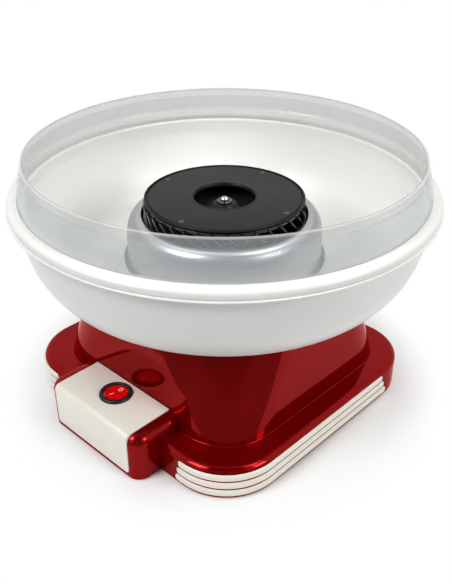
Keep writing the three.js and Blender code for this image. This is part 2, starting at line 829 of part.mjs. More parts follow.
const plateScrewLength = MOTOR_PLATE_THICK + PLATE_DROP + WALL / 2 - GAP;
const plateScrew = screw(SCREW_R, plateScrewLength, SCREW_HEAD_R, SCREW_HEAD);
plateScrewPlaces.forEach(([x, y], i) => {
  const mesh = piece(base, `plate_screw_${i + 1}`, plateScrew, STEEL);
  mesh.rotation.x = Math.PI;
  mesh.position.set(x, y, motorPlateLow - GAP);
});
const motorScrewLength = MOTOR_SCREW_LENGTH - GAP + MOTOR_PLATE_THICK;
const motorScrew = screw(SCREW_R, motorScrewLength, SCREW_HEAD_R, SCREW_HEAD);
motorScrewPlaces.forEach(([x, y], i) => {
  const mesh = piece(base, `motor_screw_${i + 1}`, motorScrew, STEEL);
  mesh.position.set(x, y, motorPlateTop + GAP);
});

// Collar: a straight wall, a domed shoulder and a flange turned in at its foot
function curvePoints(from, bend, to, steps) {
  const curve = new THREE.QuadraticBezierCurve(
    new THREE.Vector2(...from),
    new THREE.Vector2(...bend),
    new THREE.Vector2(...to),
  );
  return curve.getPoints(steps).map((point) => [point.x, point.y]);
}

function shoulder(inset, steps) {
  return curvePoints(
    [COLLAR_R - inset, COLLAR_SHOULDER],
    [COLLAR_R - inset, COLLAR_TOP - inset],
    [COLLAR_MOUTH, COLLAR_TOP - inset],
    steps,
  );
}

const collarShape = turned(
  [
    [collarInner - COLLAR_FLANGE, seatZ],
    [COLLAR_R, seatZ],
    ...shoulder(0, SHOULDER_STEPS),
    ...shoulder(SHEET, INNER_SHOULDER_STEPS).reverse(),
    [collarInner, seatZ + SHEET],
    [collarInner - COLLAR_FLANGE, seatZ + SHEET],
  ],
  ROUND_SIDES,
);
const collarScrewPlaces = spread(COLLAR_SCREWS, collarScrewAt, -QUARTER);
const collarHole = bar(SCREW_R + GAP, seatZ - PAST, seatZ + SHEET + PAST);
piece(base, "collar", drilled(collarShape, collarHole, collarScrewPlaces), ALUMINIUM);
const collarScrewLength = WALL / 2 + GAP + SHEET;
const collarScrew = screw(SCREW_R, collarScrewLength, SCREW_HEAD_R, SCREW_HEAD);
collarScrewPlaces.forEach(([x, y], i) => {
  const mesh = piece(base, `collar_screw_${i + 1}`, collarScrew, STEEL);
  mesh.position.set(x, y, seatZ + SHEET + GAP);
});

// Heating dish on three ceramic posts
const dish = turned(
  [
    [DISH_HOLE, DISH_Z],
    [DISH_R - DISH_LIP, DISH_Z],
    [DISH_R, DISH_Z + DISH_LIP],
    [DISH_R - SHEET, DISH_Z + DISH_LIP + SHEET / 2],
    [DISH_R - DISH_LIP - SHEET / 2, DISH_Z + SHEET],
    [DISH_HOLE, DISH_Z + SHEET],
  ],
  HIDDEN_SIDES,
);
const postPlaces = spread(POSTS, POST_AT, QUARTER);
const pegHole = bar(POST_PEG_R + GAP, DISH_Z - PAST, DISH_Z + SHEET + PAST);
const endPlaces = [-1, 1].map((side) => [side * RING_END_APART, RING_R]);
const endHole = bar(RING_END_R + RUN, DISH_Z - PAST, DISH_Z + SHEET + PAST);
const dishDrilled = drilled(drilled(dish, pegHole, postPlaces), endHole, endPlaces);
piece(base, "heater_plate", dishDrilled, ALUMINIUM);

const post = turned(
  [
    [0, PEDESTAL_TOP - POST_PEG + GAP],
    [POST_PEG_R, PEDESTAL_TOP - POST_PEG + GAP],
    [POST_PEG_R, seatZ],
    [POST_R, seatZ],
    [POST_R, DISH_Z - GAP],
    [POST_PEG_R, DISH_Z - GAP],
    [POST_PEG_R, DISH_Z + SHEET + POST_PEG],
    [0, DISH_Z + SHEET + POST_PEG],
  ],
  SCREW_SIDES,
);
postPlaces.forEach(([x, y], i) => {
  piece(base, `heater_post_${i + 1}`, post, CERAMIC).position.set(x, y, 0);
});

// Heating ring: a round tube whose two ends go down through the dish
function torus(tube) {
  return solid(new THREE.TorusGeometry(RING_R, tube, TINY_SIDES, HIDDEN_SIDES));
}
const ringEnd = bar(RING_END_R, -RING_END_LONG, 0);
const ringEnds = endPlaces.map(([x, y]) => ringEnd.translate([x, y, 0]));
piece(base, "heating_ring", join(torus(RING_TUBE), ...ringEnds), STEEL).position.z = RING_Z;

const blockLow = DISH_Z + SHEET + GAP;
const blockHigh = RING_Z + GAP;
angles(POSTS, -QUARTER).forEach((angle, i) => {
  const [x, y] = around(RING_R, angle);
  const raw = block(BLOCK_WIDE, BLOCK_LONG, blockHigh - blockLow);
  const placed = raw.rotate([0, 0, degrees(angle)]).translate([x, y, (blockLow + blockHigh) / 2]);
  const seat = torus(RING_TUBE + GAP).translate([0, 0, RING_Z]);
  piece(base, `ring_insulator_${i + 1}`, cut(placed, seat), CERAMIC);
});

// Rotor: the shaft and the pin that drives the head
const pinZ = shaftTop - BUSH_SLOT_DEEP - 2 * PIN_R;
const pinBar = (radius, long) => bar(radius, -long / 2, long / 2);
const flat = (shape) => shape.rotate([0, degrees(QUARTER), 0]);
const shaftBar = bar(SHAFT_R, motorLow + WALL + GAP, shaftTop, SMALL_SIDES);
const shaftHole = flat(pinBar(PIN_R + GAP, 4 * SHAFT_R)).translate([0, 0, pinZ]);
piece(rotor, "motor_shaft", cut(shaftBar, shaftHole), STEEL);
piece(rotor, "drive_pin", flat(pinBar(PIN_R, PIN_LONG)), STEEL).position.z = pinZ;

// Head bush: slips over the shaft, and its slot takes the pin
const hubTop = HEAD_TOP - HEAD_SCREW_HEAD - HEAD_WASHER - 3 * GAP - PAN_SHEET;
const bushTop = hubTop - PAN_SHEET - GAP;
const bushLow = bushTop - BUSH_LONG;
const bushRaw = turned(
  [
    [SHAFT_R + GAP, bushLow],
    [BUSH_R, bushLow],
    [BUSH_R, bushTop],
    [0, bushTop],
    [0, shaftTop + GAP],
    [SHAFT_R + GAP, shaftTop + GAP],
  ],
  SMALL_SIDES,
);
const slotHigh = pinZ + PIN_R + GAP - bushLow + PAST;
const slotCutter = block(2 * PIN_LONG, 2 * (PIN_R + GAP), slotHigh);
const bushPilot = bar(HEAD_SCREW_R + GAP, shaftTop, bushTop + PAST);
const bush = cut(bushRaw, slotCutter.translate([0, 0, bushLow - PAST + slotHigh / 2]), bushPilot);
piece(head, "head_bush", bush, BRASS);

// Sugar pan: a dish with a raised hub in its middle
const panTop = HEAD_TOP - COVER_THICK - GAP;
const pan = turned(
  [
    [HEAD_SCREW_R + GAP, hubTop - PAN_SHEET],
    [HUB_TOP_R, hubTop - PAN_SHEET],
    [HUB_FOOT_R, PAN_FLOOR],
    [PAN_R - PAN_SHEET, PAN_FLOOR],
    [PAN_R, PAN_FLOOR + PAN_SHEET],
    [PAN_R, panTop],
    [PAN_R - PAN_SHEET, panTop],
    [PAN_R - PAN_SHEET, PAN_FLOOR + 2 * PAN_SHEET],
    [PAN_R - 2 * PAN_SHEET, PAN_FLOOR + PAN_SHEET],
    [HUB_FOOT_R + PAN_SHEET / 2, PAN_FLOOR + PAN_SHEET],
    [HUB_TOP_R + PAN_SHEET / 2, hubTop],
    [HEAD_SCREW_R + GAP, hubTop],
  ],
  HIDDEN_SIDES,
);
piece(head, "sugar_pan", pan, BLACK);

// Louvred ring: slanted blades between two hoops
function hoop(low) {
  return turned(
    [
      [FIN_RING_BORE, low],
      [FIN_RING_R, low],
      [FIN_RING_R, low + FIN_RING_THICK],
      [FIN_RING_BORE, low + FIN_RING_THICK],
    ],
    FIN_COUNT,
  );
}

function finRing() {
  const highHoop = HEAD_TOP - COVER_THICK - GAP - FIN_RING_THICK;
  const rise = highHoop - FIN_RING_LOW;
  const middle = FIN_RING_LOW + (rise + FIN_RING_THICK) / 2;
  const deep = FIN_REACH - FIN_RING_BORE - PAST;
  const blade = block(FIN_THICK, deep, rise / Math.cos(FIN_SLANT))
    .rotate([0, -degrees(FIN_SLANT), 0])
    .translate([0, -FIN_REACH + deep / 2, middle]);
  let ring = join(hoop(FIN_RING_LOW), hoop(highHoop));
  for (const angle of angles(FIN_COUNT)) {
    ring = join(ring, blade.rotate([0, 0, degrees(angle)]));
  }
  return ring;
}
piece(head, "fin_ring", finRing(), BLACK);

// Cover: a disc with a fine raised edge and a round hole with a rolled edge
const cover = turned(
  [
    [COVER_HOLE, HEAD_TOP - COVER_THICK],
    [COVER_R - COVER_RIM, HEAD_TOP - COVER_THICK],
    [COVER_R, HEAD_TOP - COVER_THICK + COVER_RIM],
    [COVER_R, HEAD_TOP - 2 * COVER_RIM],
    [COVER_R - COVER_RIM, HEAD_TOP],
    [COVER_FACE_R, HEAD_TOP],
    [COVER_FACE_R - COVER_RIM, HEAD_TOP - COVER_RIM],
    [COVER_HOLE + COVER_ROLL, HEAD_TOP - COVER_RIM],
    [COVER_HOLE + COVER_ROUND, HEAD_TOP - COVER_RIM / 2],
    [COVER_HOLE, HEAD_TOP - COVER_ROUND - COVER_RIM],
  ],
  ROUND_SIDES,
);
piece(head, "head_cover", cover, BLACK);

const washer = turned(
  [
    [HEAD_SCREW_R + GAP, hubTop + GAP],
    [HEAD_WASHER_R, hubTop + GAP],
    [HEAD_WASHER_R, hubTop + GAP + HEAD_WASHER],
    [HEAD_SCREW_R + GAP, hubTop + GAP + HEAD_WASHER],
  ],
  SMALL_SIDES,
);
piece(head, "head_washer", washer, STEEL);
const headScrewLength = Math.min(HEAD_SCREW_LENGTH, hubTop - shaftTop);
const headScrew = screw(
  HEAD_SCREW_R,
  headScrewLength,
  HEAD_SCREW_HEAD_R,
  HEAD_SCREW_HEAD,
  SMALL_SIDES,
);
piece(head, "head_screw", headScrew, STEEL).position.z = hubTop + HEAD_WASHER + 2 * GAP;

// Bowl: a hub that stands round the collar, a flat seat, one long side curve and a rolled rim
function sideCurve(inset, steps) {
  const curve = new THREE.CubicBezierCurve(
    new THREE.Vector2(SEAT_R, seatZ + inset),
    new THREE.Vector2(SEAT_R + SEAT_PULL - inset / 2, seatZ + inset),
    new THREE.Vector2(SIDE_R - SIDE_PULL_R - inset, SIDE_TOP - SIDE_PULL_Z),
    new THREE.Vector2(SIDE_R - inset, SIDE_TOP),
  );
  return curve.getPoints(steps).map((point) => [point.x, point.y]);
}

const ledgeZ = RIM_TOP - LEDGE_DROP;
const lip = curvePoints(
  [RIM_OUTER, RIM_TOP - 2 * LIP_ROUND],
  [RIM_OUTER, RIM_TOP],
  [RIM_INNER + LIP_ROUND, RIM_TOP],
  LIP_STEPS,
);
const bowl = turned(
  [
    [HUB_R, seatZ + HUB_EASE],
    [HUB_R + HUB_EASE, seatZ],
    ...sideCurve(0, SIDE_STEPS),
    [SIDE_R + BEAD_HALF, BEAD_Z - 2 * BEAD_HALF],
    [BEAD_R - BEAD_HALF, BEAD_Z - BEAD_HALF],
    [BEAD_R, BEAD_Z],
    [RIM_OUTER - GROOVE_DEEP, BEAD_Z + BEAD_HALF],
    ...lip,
    [RIM_INNER, RIM_TOP],
    [RIM_INNER, ledgeZ],
    [RIM_INNER - LEDGE_WIDE, ledgeZ],
    [RIM_INNER - LEDGE_WIDE, ledgeZ - LEDGE_THICK],
    ...sideCurve(BOWL_WALL, INNER_STEPS).reverse(),
    [HUB_R + HUB_EASE + BOWL_WALL, seatZ + BOWL_WALL],
    [HUB_R + BOWL_WALL, seatZ + HUB_EASE + BOWL_WALL],
    [HUB_R + BOWL_WALL / 2, HUB_TOP],
    [HUB_R, HUB_TOP],
  ],
  BIG_SIDES,
);
piece(bowlGroup, "bowl", bowl, MILK);

// Guard: an upright thick band stands on the bowl's ledge, and a thin wall leans in above it
const guardLow = ledgeZ + GAP;
const bandTop = guardLow + GUARD_BAND;
const guard = turned(
  [
    [GUARD_FOOT_R - GUARD_BAND_THICK, guardLow],
    [GUARD_FOOT_R, guardLow],
    [GUARD_BAND_R, bandTop],
    [GUARD_TOP_R, GUARD_TOP],
    [GUARD_TOP_R - GUARD_WALL, GUARD_TOP],
    [GUARD_BAND_R - GUARD_WALL, bandTop],
    [GUARD_BAND_R - GUARD_BAND_THICK, bandTop - GUARD_WALL],
  ],
  BIG_SIDES,
);
piece(bowlGroup, "guard", guard, CLEAR);

export default group;
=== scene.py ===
# %% [markdown]
# # An electric cotton candy machine
#
# The machine stands on a table. A red moulded housing carries a white bowl, and in the bowl's middle a black
# louvred head spins over a heating ring and throws threads of sugar outwards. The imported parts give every
# place and size. This lesson gives each visible piece its smooth surface and its finish.

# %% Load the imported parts
import math

import bmesh
import bpy
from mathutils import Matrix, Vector


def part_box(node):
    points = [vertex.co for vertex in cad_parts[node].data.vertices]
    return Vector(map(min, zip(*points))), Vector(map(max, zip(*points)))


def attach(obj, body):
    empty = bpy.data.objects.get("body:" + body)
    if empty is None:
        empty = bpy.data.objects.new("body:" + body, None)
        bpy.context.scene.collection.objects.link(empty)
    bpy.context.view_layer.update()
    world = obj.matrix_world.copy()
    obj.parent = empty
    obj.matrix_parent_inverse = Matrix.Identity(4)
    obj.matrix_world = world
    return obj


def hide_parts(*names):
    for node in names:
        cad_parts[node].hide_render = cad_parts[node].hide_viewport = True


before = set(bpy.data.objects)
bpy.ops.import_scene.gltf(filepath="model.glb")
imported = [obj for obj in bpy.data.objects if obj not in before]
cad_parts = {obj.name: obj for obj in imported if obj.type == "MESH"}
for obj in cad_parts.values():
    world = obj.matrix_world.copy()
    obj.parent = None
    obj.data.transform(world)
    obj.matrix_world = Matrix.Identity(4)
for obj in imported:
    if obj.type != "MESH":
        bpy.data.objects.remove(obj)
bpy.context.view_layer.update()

# %% [markdown]
# ## Three ways to make a piece
#
# Most pieces here are one of three kinds. A turned piece is a section spun about an axis, as on a lathe. A
# moulded box is a stack of rounded outlines, one above the other. What repeats, or follows a path, is left to
# Geometry Nodes. Points are given in millimetres, and every mesh is merged, shaded smooth and kept sharp only
# at its real edges.

# %% Points to a smooth piece
MM = 0.001
QUARTER = math.pi / 2


def mesh_object(name, points, faces, sharp=32):
    mesh = bpy.data.meshes.new(name)
    mesh.from_pydata([Vector(p) * MM for p in points], [], faces)
    return smooth_object(name, mesh, sharp)


def smooth_object(name, mesh, sharp=32):
    work = bmesh.new()
    work.from_mesh(mesh)
    bmesh.ops.remove_doubles(work, verts=work.verts, dist=1e-7)
    bmesh.ops.recalc_face_normals(work, faces=work.faces)
    work.to_mesh(mesh)
    work.free()
    mesh.shade_smooth()
    mesh.set_sharp_from_angle(angle=math.radians(sharp))
    made = bpy.data.objects.new(name, mesh)
    bpy.context.scene.collection.objects.link(made)
    return made


# %% [markdown]
# A section is a list of corners, each with its own rounding, because no real edge is quite sharp and a
# rounded one catches the light. The Screw modifier could spin it as well, but here every corner is rounded by
# its own number, and a ring closes on itself without a seam.

# %% Turned pieces
def softened(section, closed):
    """A section of (radius, height, rounding) points with an arc at each rounded corner."""
    out = []
    count = len(section)
    for i, (r, z, ease) in enumerate(section):
        here = Vector((r, z))
        ends = not closed and i in (0, count - 1)
        if ease <= 0 or ends:
            out.append(here)
            continue
        before = Vector(section[i - 1][:2]) - here
        after = Vector(section[(i + 1) % count][:2]) - here
        reach = min(ease, before.length * 0.49, after.length * 0.49)
        a, b = here + before.normalized() * reach, here + after.normalized() * reach
        for k in range(6):
            t = k / 5
            out.append(a * (1 - t) ** 2 + here * 2 * t * (1 - t) + b * t * t)
    return out


def turned(name, section, sides=128, closed=True, sharp=32):
    """A section spun about +Z. A closed section makes a ring, an open one starts and ends on the axis."""
    line = softened(section, closed)
    points, faces = [], []
    for point in line:
        for k in range(sides):
            angle = 2 * math.pi * k / sides
            points.append((point.x * math.sin(angle), -point.x * math.cos(angle), point.y))
    rows = len(line)
    for i in range(rows if closed else rows - 1):
        j = (i + 1) % rows
        for k in range(sides):
            n = (k + 1) % sides
            quad = [i * sides + k, i * sides + n, j * sides + n, j * sides + k]
            faces.append(quad)
    return mesh_object(name, points, faces, sharp)


# %% [markdown]
# A moulded wall is straight along its sides and bends only in its corners. A ring of points says where the
# wall runs at one height, and faces join one ring to the next. A bevelled cube would be quicker, but its
# corners would all be alike, and those of this housing open as they rise.

# %% Stacked pieces
def outline(left, right, front, back, corner, z, steps=20, support=0.7):
    """A rounded rectangle as one ring of points, with a point close to each end of each straight side."""
    corners = [
        (right - corner, front + corner, -QUARTER),
        (right - corner, back - corner, 0),
        (left + corner, back - corner, QUARTER),
        (left + corner, front + corner, 2 * QUARTER),
    ]
    ring = []
    for x, y, start in corners:
        first = Vector((math.cos(start), math.sin(start)))
        last = Vector((-first.y, first.x))
        ring.append((x + corner * first.x - support * last.x, y + corner * first.y - support * last.y, z))
        for i in range(steps + 1):
            angle = start + QUARTER * i / steps
            ring.append((x + corner * math.cos(angle), y + corner * math.sin(angle), z))
        ring.append((x + corner * last.x - support * first.x, y + corner * last.y - support * first.y, z))
    return ring


def stacked(name, rings, sharp=32):
    """A closed solid through rings that all have the same number of points."""
    size = len(rings[0])
    points = [p for ring in rings for p in ring]
    faces = [list(range(size))[::-1], [(len(rings) - 1) * size + k for k in range(size)]]
    for i in range(len(rings) - 1):
        for k in range(size):
            n = (k + 1) % size
            faces.append([i * size + k, i * size + n, (i + 1) * size + n, (i + 1) * size + k])
    return mesh_object(name, points, faces, sharp)


# %% [markdown]
# Some pieces are finished by Blender's own modifiers, such as Boolean and Bevel. Each is applied at once, so
# that every piece ends as a plain mesh. The last helper hands a piece over: it gives its finish, the body
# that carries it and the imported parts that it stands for.

# %% Modifiers, and the handing over
def settled(piece, modifiers=()):
    """The piece with its modifiers applied, as a plain mesh."""
    for kind, settings in modifiers:
        modifier = piece.modifiers.new(kind, kind)
        for key, value in settings.items():
            setattr(modifier, key, value)
    graph = bpy.context.evaluated_depsgraph_get()
    mesh = bpy.data.meshes.new_from_object(piece.evaluated_get(graph))
    piece.modifiers.clear()
    piece.data = mesh
    return piece


def boolean(piece, other, operation):
    settled(piece, [("BOOLEAN", {"object": other, "operation": operation, "solver": "EXACT"})])
    bpy.data.objects.remove(other)
    return piece


def resmooth(piece, sharp=32):
    name = piece.name
    mesh = piece.data
    bpy.data.objects.remove(piece)
    return smooth_object(name, mesh, sharp)


def fit(piece, body, material, slot, *nodes):
    """Gives a finished piece its material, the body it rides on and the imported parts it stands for."""
    piece.data.materials.clear()
    piece.data.materials.append(material)
    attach(piece, body)
    if nodes:
        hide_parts(*nodes)
    faces = len(piece.data.polygons)
    print(f"{piece.name}: {faces} faces on {body}")
    return piece


# %% [markdown]
# ## Finishes
#
# A material is a small tree of nodes. It could be joined up by hand in the Shader Editor, but a script can be
# read, changed in one place and run again. The helpers below add one node at a time and feed its inputs.

# %% Helpers for nodes
def add_node(tree, kind, sockets=None, **settings):
    """A new node. Sockets names its inputs, each with a value or with the output that feeds it."""
    node = tree.nodes.new(kind)
    for key, value in settings.items():
        setattr(node, key, value)
    for name, value in (sockets or {}).items():
        if isinstance(value, bpy.types.NodeSocket):
            tree.links.new(value, node.inputs[name])
        else:
            node.inputs[name].default_value = value
    return node


def math_node(tree, operation, *values, clamp=False):
    sockets = dict(enumerate(values))
    return add_node(tree, "ShaderNodeMath", sockets, operation=operation, use_clamp=clamp).outputs[0]


def shader_of(name, base, rough, metal=0.0, **sockets):
    material = bpy.data.materials.new(name)
    material.use_nodes = True
    shader = material.node_tree.nodes["Principled BSDF"]
    shader.inputs["Base Color"].default_value = (*base, 1)
    shader.inputs["Roughness"].default_value = rough
    shader.inputs["Metallic"].default_value = metal
    for key, value in sockets.items():
        shader.inputs[key.replace("_", " ")].default_value = value
    return material


def feed(material, socket, output):
    """Joins a node's output to one of the shader's own sockets."""
    tree = material.node_tree
    tree.links.new(output, tree.nodes["Principled BSDF"].inputs[socket])


def noise_on(material, scale, detail=3.0, stretch=(1, 1, 1)):
    tree = material.node_tree
    place = add_node(tree, "ShaderNodeTexCoord")
    mapping = add_node(tree, "ShaderNodeMapping", {"Vector": place.outputs["Object"], "Scale": stretch})
    sockets = {"Vector": mapping.outputs["Vector"], "Scale": scale, "Detail": detail}
    return add_node(tree, "ShaderNodeTexNoise", sockets).outputs["Fac"]


def ramp_over(material, value, stops):
    """A ramp of colours or greys over a value. Each stop is a place from 0 to 1 and a colour or a grey."""
    ramp = add_node(material.node_tree, "ShaderNodeValToRGB", {"Fac": value})
    marks = ramp.color_ramp.elements
    while len(marks) < len(stops):
        marks.new(1.0)
    for mark, (place, shade) in zip(marks, stops):
        mark.position = place
        mark.color = (*shade, 1) if isinstance(shade, tuple) else (shade, shade, shade, 1)
    return ramp.outputs["Color"]


# %% [markdown]
# Every finish starts from one Principled shader. Fine noise changes the colour a little, sets how the gloss
# wanders, and gives a bump of the right scale: the orange peel of moulded plastic, or the fine lines of spun
# aluminium. A photograph of a surface could do this too, but noise has no seam and needs no file. It reads
# Object coordinates, which stay with the piece.

# %% Colour, gloss and bump
def tint(material, low, high, scale, detail=4.0, stretch=(1, 1, 1)):
    """The colour wanders between two close shades."""
    noise = noise_on(material, scale, detail, stretch)
    feed(material, "Base Color", ramp_over(material, noise, [(0.35, low), (0.65, high)]))


def gloss(material, low, high, scale, detail=3.0, stretch=(1, 1, 1)):
    """The roughness wanders between two values, as wiped or handled plastic does."""
    noise = noise_on(material, scale, detail, stretch)
    sockets = {"Value": noise, "From Min": 0.3, "From Max": 0.7, "To Min": low, "To Max": high}
    span = add_node(material.node_tree, "ShaderNodeMapRange", sockets)
    feed(material, "Roughness", span.outputs["Result"])


def grain(material, scale, strength, depth, detail=2.0, stretch=(1, 1, 1)):
    """A fine bump: depth is its height in metres."""
    noise = noise_on(material, scale, detail, stretch)
    sockets = {"Height": noise, "Strength": strength, "Distance": depth}
    feed(material, "Normal", add_node(material.node_tree, "ShaderNodeBump", sockets).outputs["Normal"])


# %% [markdown]
# The housing is a deep red, polished so well that it mirrors the table and the panel of the switch box. Its
# mirror image is red as well, as on a metallic lacquer, so part of the shader is metallic, under a thin clear
# coat that gives the white highlights on the rounded edges.

# %% Red lacquer
red_lacquer = shader_of(
    "red_lacquer",
    (0.25, 0.0014, 0.0018),
    0.06,
    0.65,
    Specular_IOR_Level=0.04,
    Specular_Tint=(1, 0.25, 0.25, 1),
    Coat_Weight=0.15,
    Coat_Roughness=0.03,
)
tint(red_lacquer, (0.24, 0.0013, 0.0017), (0.26, 0.0016, 0.002), 40)
gloss(red_lacquer, 0.04, 0.09, 30)
grain(red_lacquer, 260, 0.05, 0.00002)
print("nodes in the lacquer:", len(red_lacquer.node_tree.nodes))

# %% [markdown]
# The trim and the switch panel are cream plastic with a fine grain. The head is black, smooth on its cover
# and shinier on its blades, whose edges catch the light. Bezel and base plate are a duller black, the rocker
# is a clear strong red with two printed marks, and the feet are rubber.

# %% Cream, black and switch plastics
cream_plastic = shader_of("cream_plastic", (0.84, 0.82, 0.73), 0.35)
tint(cream_plastic, (0.83, 0.81, 0.72), (0.85, 0.83, 0.74), 60)
gloss(cream_plastic, 0.28, 0.4, 45)
grain(cream_plastic, 900, 0.12, 0.00002)

black_gloss = shader_of("black_gloss", (0.012, 0.0125, 0.0125), 0.32, Specular_IOR_Level=0.1)
tint(black_gloss, (0.01, 0.0105, 0.0105), (0.014, 0.0145, 0.0145), 50)
gloss(black_gloss, 0.285, 0.36, 35)
grain(black_gloss, 700, 0.1, 0.00002)

black_fins = shader_of("black_fins", (0.012, 0.012, 0.013), 0.2, Specular_IOR_Level=0.7)
tint(black_fins, (0.01, 0.01, 0.011), (0.015, 0.015, 0.016), 70)
gloss(black_fins, 0.16, 0.26, 60)
grain(black_fins, 800, 0.1, 0.00002)

black_satin = shader_of("black_satin", (0.014, 0.014, 0.015), 0.42, Specular_IOR_Level=0.25)
tint(black_satin, (0.011, 0.011, 0.012), (0.018, 0.018, 0.019), 70)
gloss(black_satin, 0.36, 0.5, 60)
grain(black_satin, 1500, 0.25, 0.00003)

switch_red = shader_of("switch_red", (0.76, 0.002, 0.004), 0.16, Specular_IOR_Level=0.05)
tint(switch_red, (0.72, 0.0015, 0.003), (0.8, 0.003, 0.005), 120)
gloss(switch_red, 0.12, 0.22, 120)
grain(switch_red, 1200, 0.06, 0.00002)

print_white = shader_of("print_white", (0.85, 0.83, 0.8), 0.4)
tint(print_white, (0.8, 0.78, 0.75), (0.88, 0.86, 0.83), 400)
gloss(print_white, 0.35, 0.5, 300)

dark_rubber = shader_of("dark_rubber", (0.02, 0.02, 0.02), 0.75)
tint(dark_rubber, (0.016, 0.016, 0.016), (0.03, 0.03, 0.03), 90)
gloss(dark_rubber, 0.65, 0.85, 80)
grain(dark_rubber, 1800, 0.4, 0.00004)
print("black finishes:", [finish.name for finish in (black_gloss, black_fins, black_satin, dark_rubber)])

# %% [markdown]
# The bowl is milky, so a little light goes into its wall, which is what Subsurface does. The guard is clear
# with a light haze. Glass would need real refraction through two thin walls, so its Alpha does the work here:
# it shows more of itself where it is seen along the wall. A finish whose gloss wanders stays either below or
# above a roughness of about 0.27: one that crosses it leaves blotches when the picture's noise is cleaned.

# %% Milky bowl and clear guard
milk_plastic = shader_of(
    "milk_plastic",
    (0.8, 0.805, 0.79),
    0.31,
    Specular_IOR_Level=0.3,
    Subsurface_Weight=0.2,
    Subsurface_Radius=(0.01, 0.01, 0.009),
)
gloss(milk_plastic, 0.285, 0.34, 25)
grain(milk_plastic, 500, 0.05, 0.00002)

# Painted light: the bowl is coloured whiter where its faces look up and in, so its inner faces are lighter
CLOUD = 0.03
tree = milk_plastic.node_tree
inward = add_node(tree, "ShaderNodeAttribute", attribute_name="painted_light_facing")
cloudy = math_node(tree, "MULTIPLY_ADD", noise_on(milk_plastic, 90), CLOUD, inward.outputs["Fac"])
whiter = ramp_over(milk_plastic, cloudy, [(0.0, (0.73, 0.74, 0.72)), (1.0, (0.9, 0.9, 0.885))])
feed(milk_plastic, "Base Color", whiter)

clear_plastic = shader_of("clear_plastic", (0.3, 0.38, 0.45), 0.12)
clear_plastic.surface_render_method = "BLENDED"
GUARD_SPAN = (0.1623, 0.1889)
WANDER = 0.02


def by_height(material, stops, low=GUARD_SPAN[0], high=GUARD_SPAN[1]):
    """A ramp over a piece's height, with a little noise so that its steps aren't ruled lines."""
    tree = material.node_tree
    place = add_node(tree, "ShaderNodeTexCoord")
    axes = add_node(tree, "ShaderNodeSeparateXYZ", {"Vector": place.outputs["Object"]})
    reach = {"Value": axes.outputs["Z"], "From Min": low, "From Max": high}
    span = add_node(tree, "ShaderNodeMapRange", reach)
    noise = noise_on(material, 60)
    return ramp_over(material, math_node(tree, "MULTIPLY_ADD", noise, WANDER, span.outputs["Result"]), stops)


def see_through(material, face_on, edge_on, share):
    """Clear plastic shows more of itself where it is seen along its wall, and where share is high."""
    tree = material.node_tree
    weight = add_node(tree, "ShaderNodeLayerWeight", {"Blend": 0.35})
    sockets = {"Value": weight.outputs["Facing"], "To Min": face_on, "To Max": edge_on}
    span = add_node(tree, "ShaderNodeMapRange", sockets)
    feed(material, "Alpha", math_node(tree, "MULTIPLY", span.outputs["Result"], share, clamp=True))


# The guard's milky wall is cool, whiter in its foot, clearer in its upper band, with a painted highlight on
# top
outer_tone_and_highlight = by_height(
    clear_plastic,
    [
        (0.0, (0.7, 0.74, 0.76)),
        (0.3, (0.6, 0.66, 0.69)),
        (0.37, (0.6, 0.68, 0.74)),
        (0.76, (0.62, 0.69, 0.75)),
        (0.8, (0.6, 0.67, 0.72)),
        (0.96, (0.6, 0.67, 0.72)),
        # painted highlight along the top edge
        (0.985, (0.85, 0.85, 0.85)),
    ],
)
# Its inner face is painted darker, as shade, and is plainer and warmer in tone than its outer one
inner_painted_shade = by_height(
    clear_plastic,
    [
        (0.0, (0.62, 0.62, 0.58)),
        (0.3, (0.54, 0.54, 0.5)),
        (0.42, (0.38, 0.38, 0.32)),
        (1.0, (0.35, 0.35, 0.29)),
    ],
)
tree = clear_plastic.node_tree
inward = add_node(tree, "ShaderNodeAttribute", attribute_name="painted_light_facing")
tone_and_painted_shade = add_node(tree, "ShaderNodeMix", data_type="RGBA")
for number, output in ((0, inward.outputs["Fac"]), (6, outer_tone_and_highlight), (7, inner_painted_shade)):
    tree.links.new(output, tone_and_painted_shade.inputs[number])
feed(clear_plastic, "Base Color", tone_and_painted_shade.outputs[2])
wall_share = by_height(
    clear_plastic,
    [(0.0, 0.52), (0.3, 0.5), (0.37, 0.48), (0.76, 0.46), (0.8, 0.34), (0.96, 0.34), (0.985, 0.6)],
)
see_through(clear_plastic, 0.66, 1.2, wall_share)
gloss(clear_plastic, 0.08, 0.18, 30)
print("nodes in the guard's finish:", len(clear_plastic.node_tree.nodes))

# %% [markdown]
# The collar is spun aluminium. Its fine lines run round it and stretch each highlight across them, so its
# shader is anisotropic, with a tangent that runs round Z. The other metals are plain: bright screws and
# shaft, a duller motor can and heating ring, and brass bushes and terminals.

# %% Metals and ceramic
spun_aluminium = shader_of("spun_aluminium", (0.45, 0.46, 0.47), 0.3, 1.0, Anisotropic=0.45)
round_lines = add_node(spun_aluminium.node_tree, "ShaderNodeTangent", direction_type="RADIAL", axis="Z")
feed(spun_aluminium, "Tangent", round_lines.outputs["Tangent"])
tint(spun_aluminium, (0.44, 0.45, 0.46), (0.47, 0.48, 0.49), 30, stretch=(1, 1, 12))
gloss(spun_aluminium, 0.29, 0.33, 40, stretch=(1, 1, 20))
grain(spun_aluminium, 60, 0.015, 0.00001, stretch=(1, 1, 30))

bright_steel = shader_of("bright_steel", (0.62, 0.61, 0.59), 0.25, 1.0)
tint(bright_steel, (0.56, 0.55, 0.53), (0.66, 0.65, 0.63), 90)
gloss(bright_steel, 0.17, 0.26, 120)
grain(bright_steel, 900, 0.08, 0.00002)

dull_steel = shader_of("dull_steel", (0.4, 0.4, 0.39), 0.42, 1.0)
tint(dull_steel, (0.34, 0.34, 0.33), (0.45, 0.45, 0.44), 60)
gloss(dull_steel, 0.34, 0.52, 70)
grain(dull_steel, 700, 0.15, 0.00003)

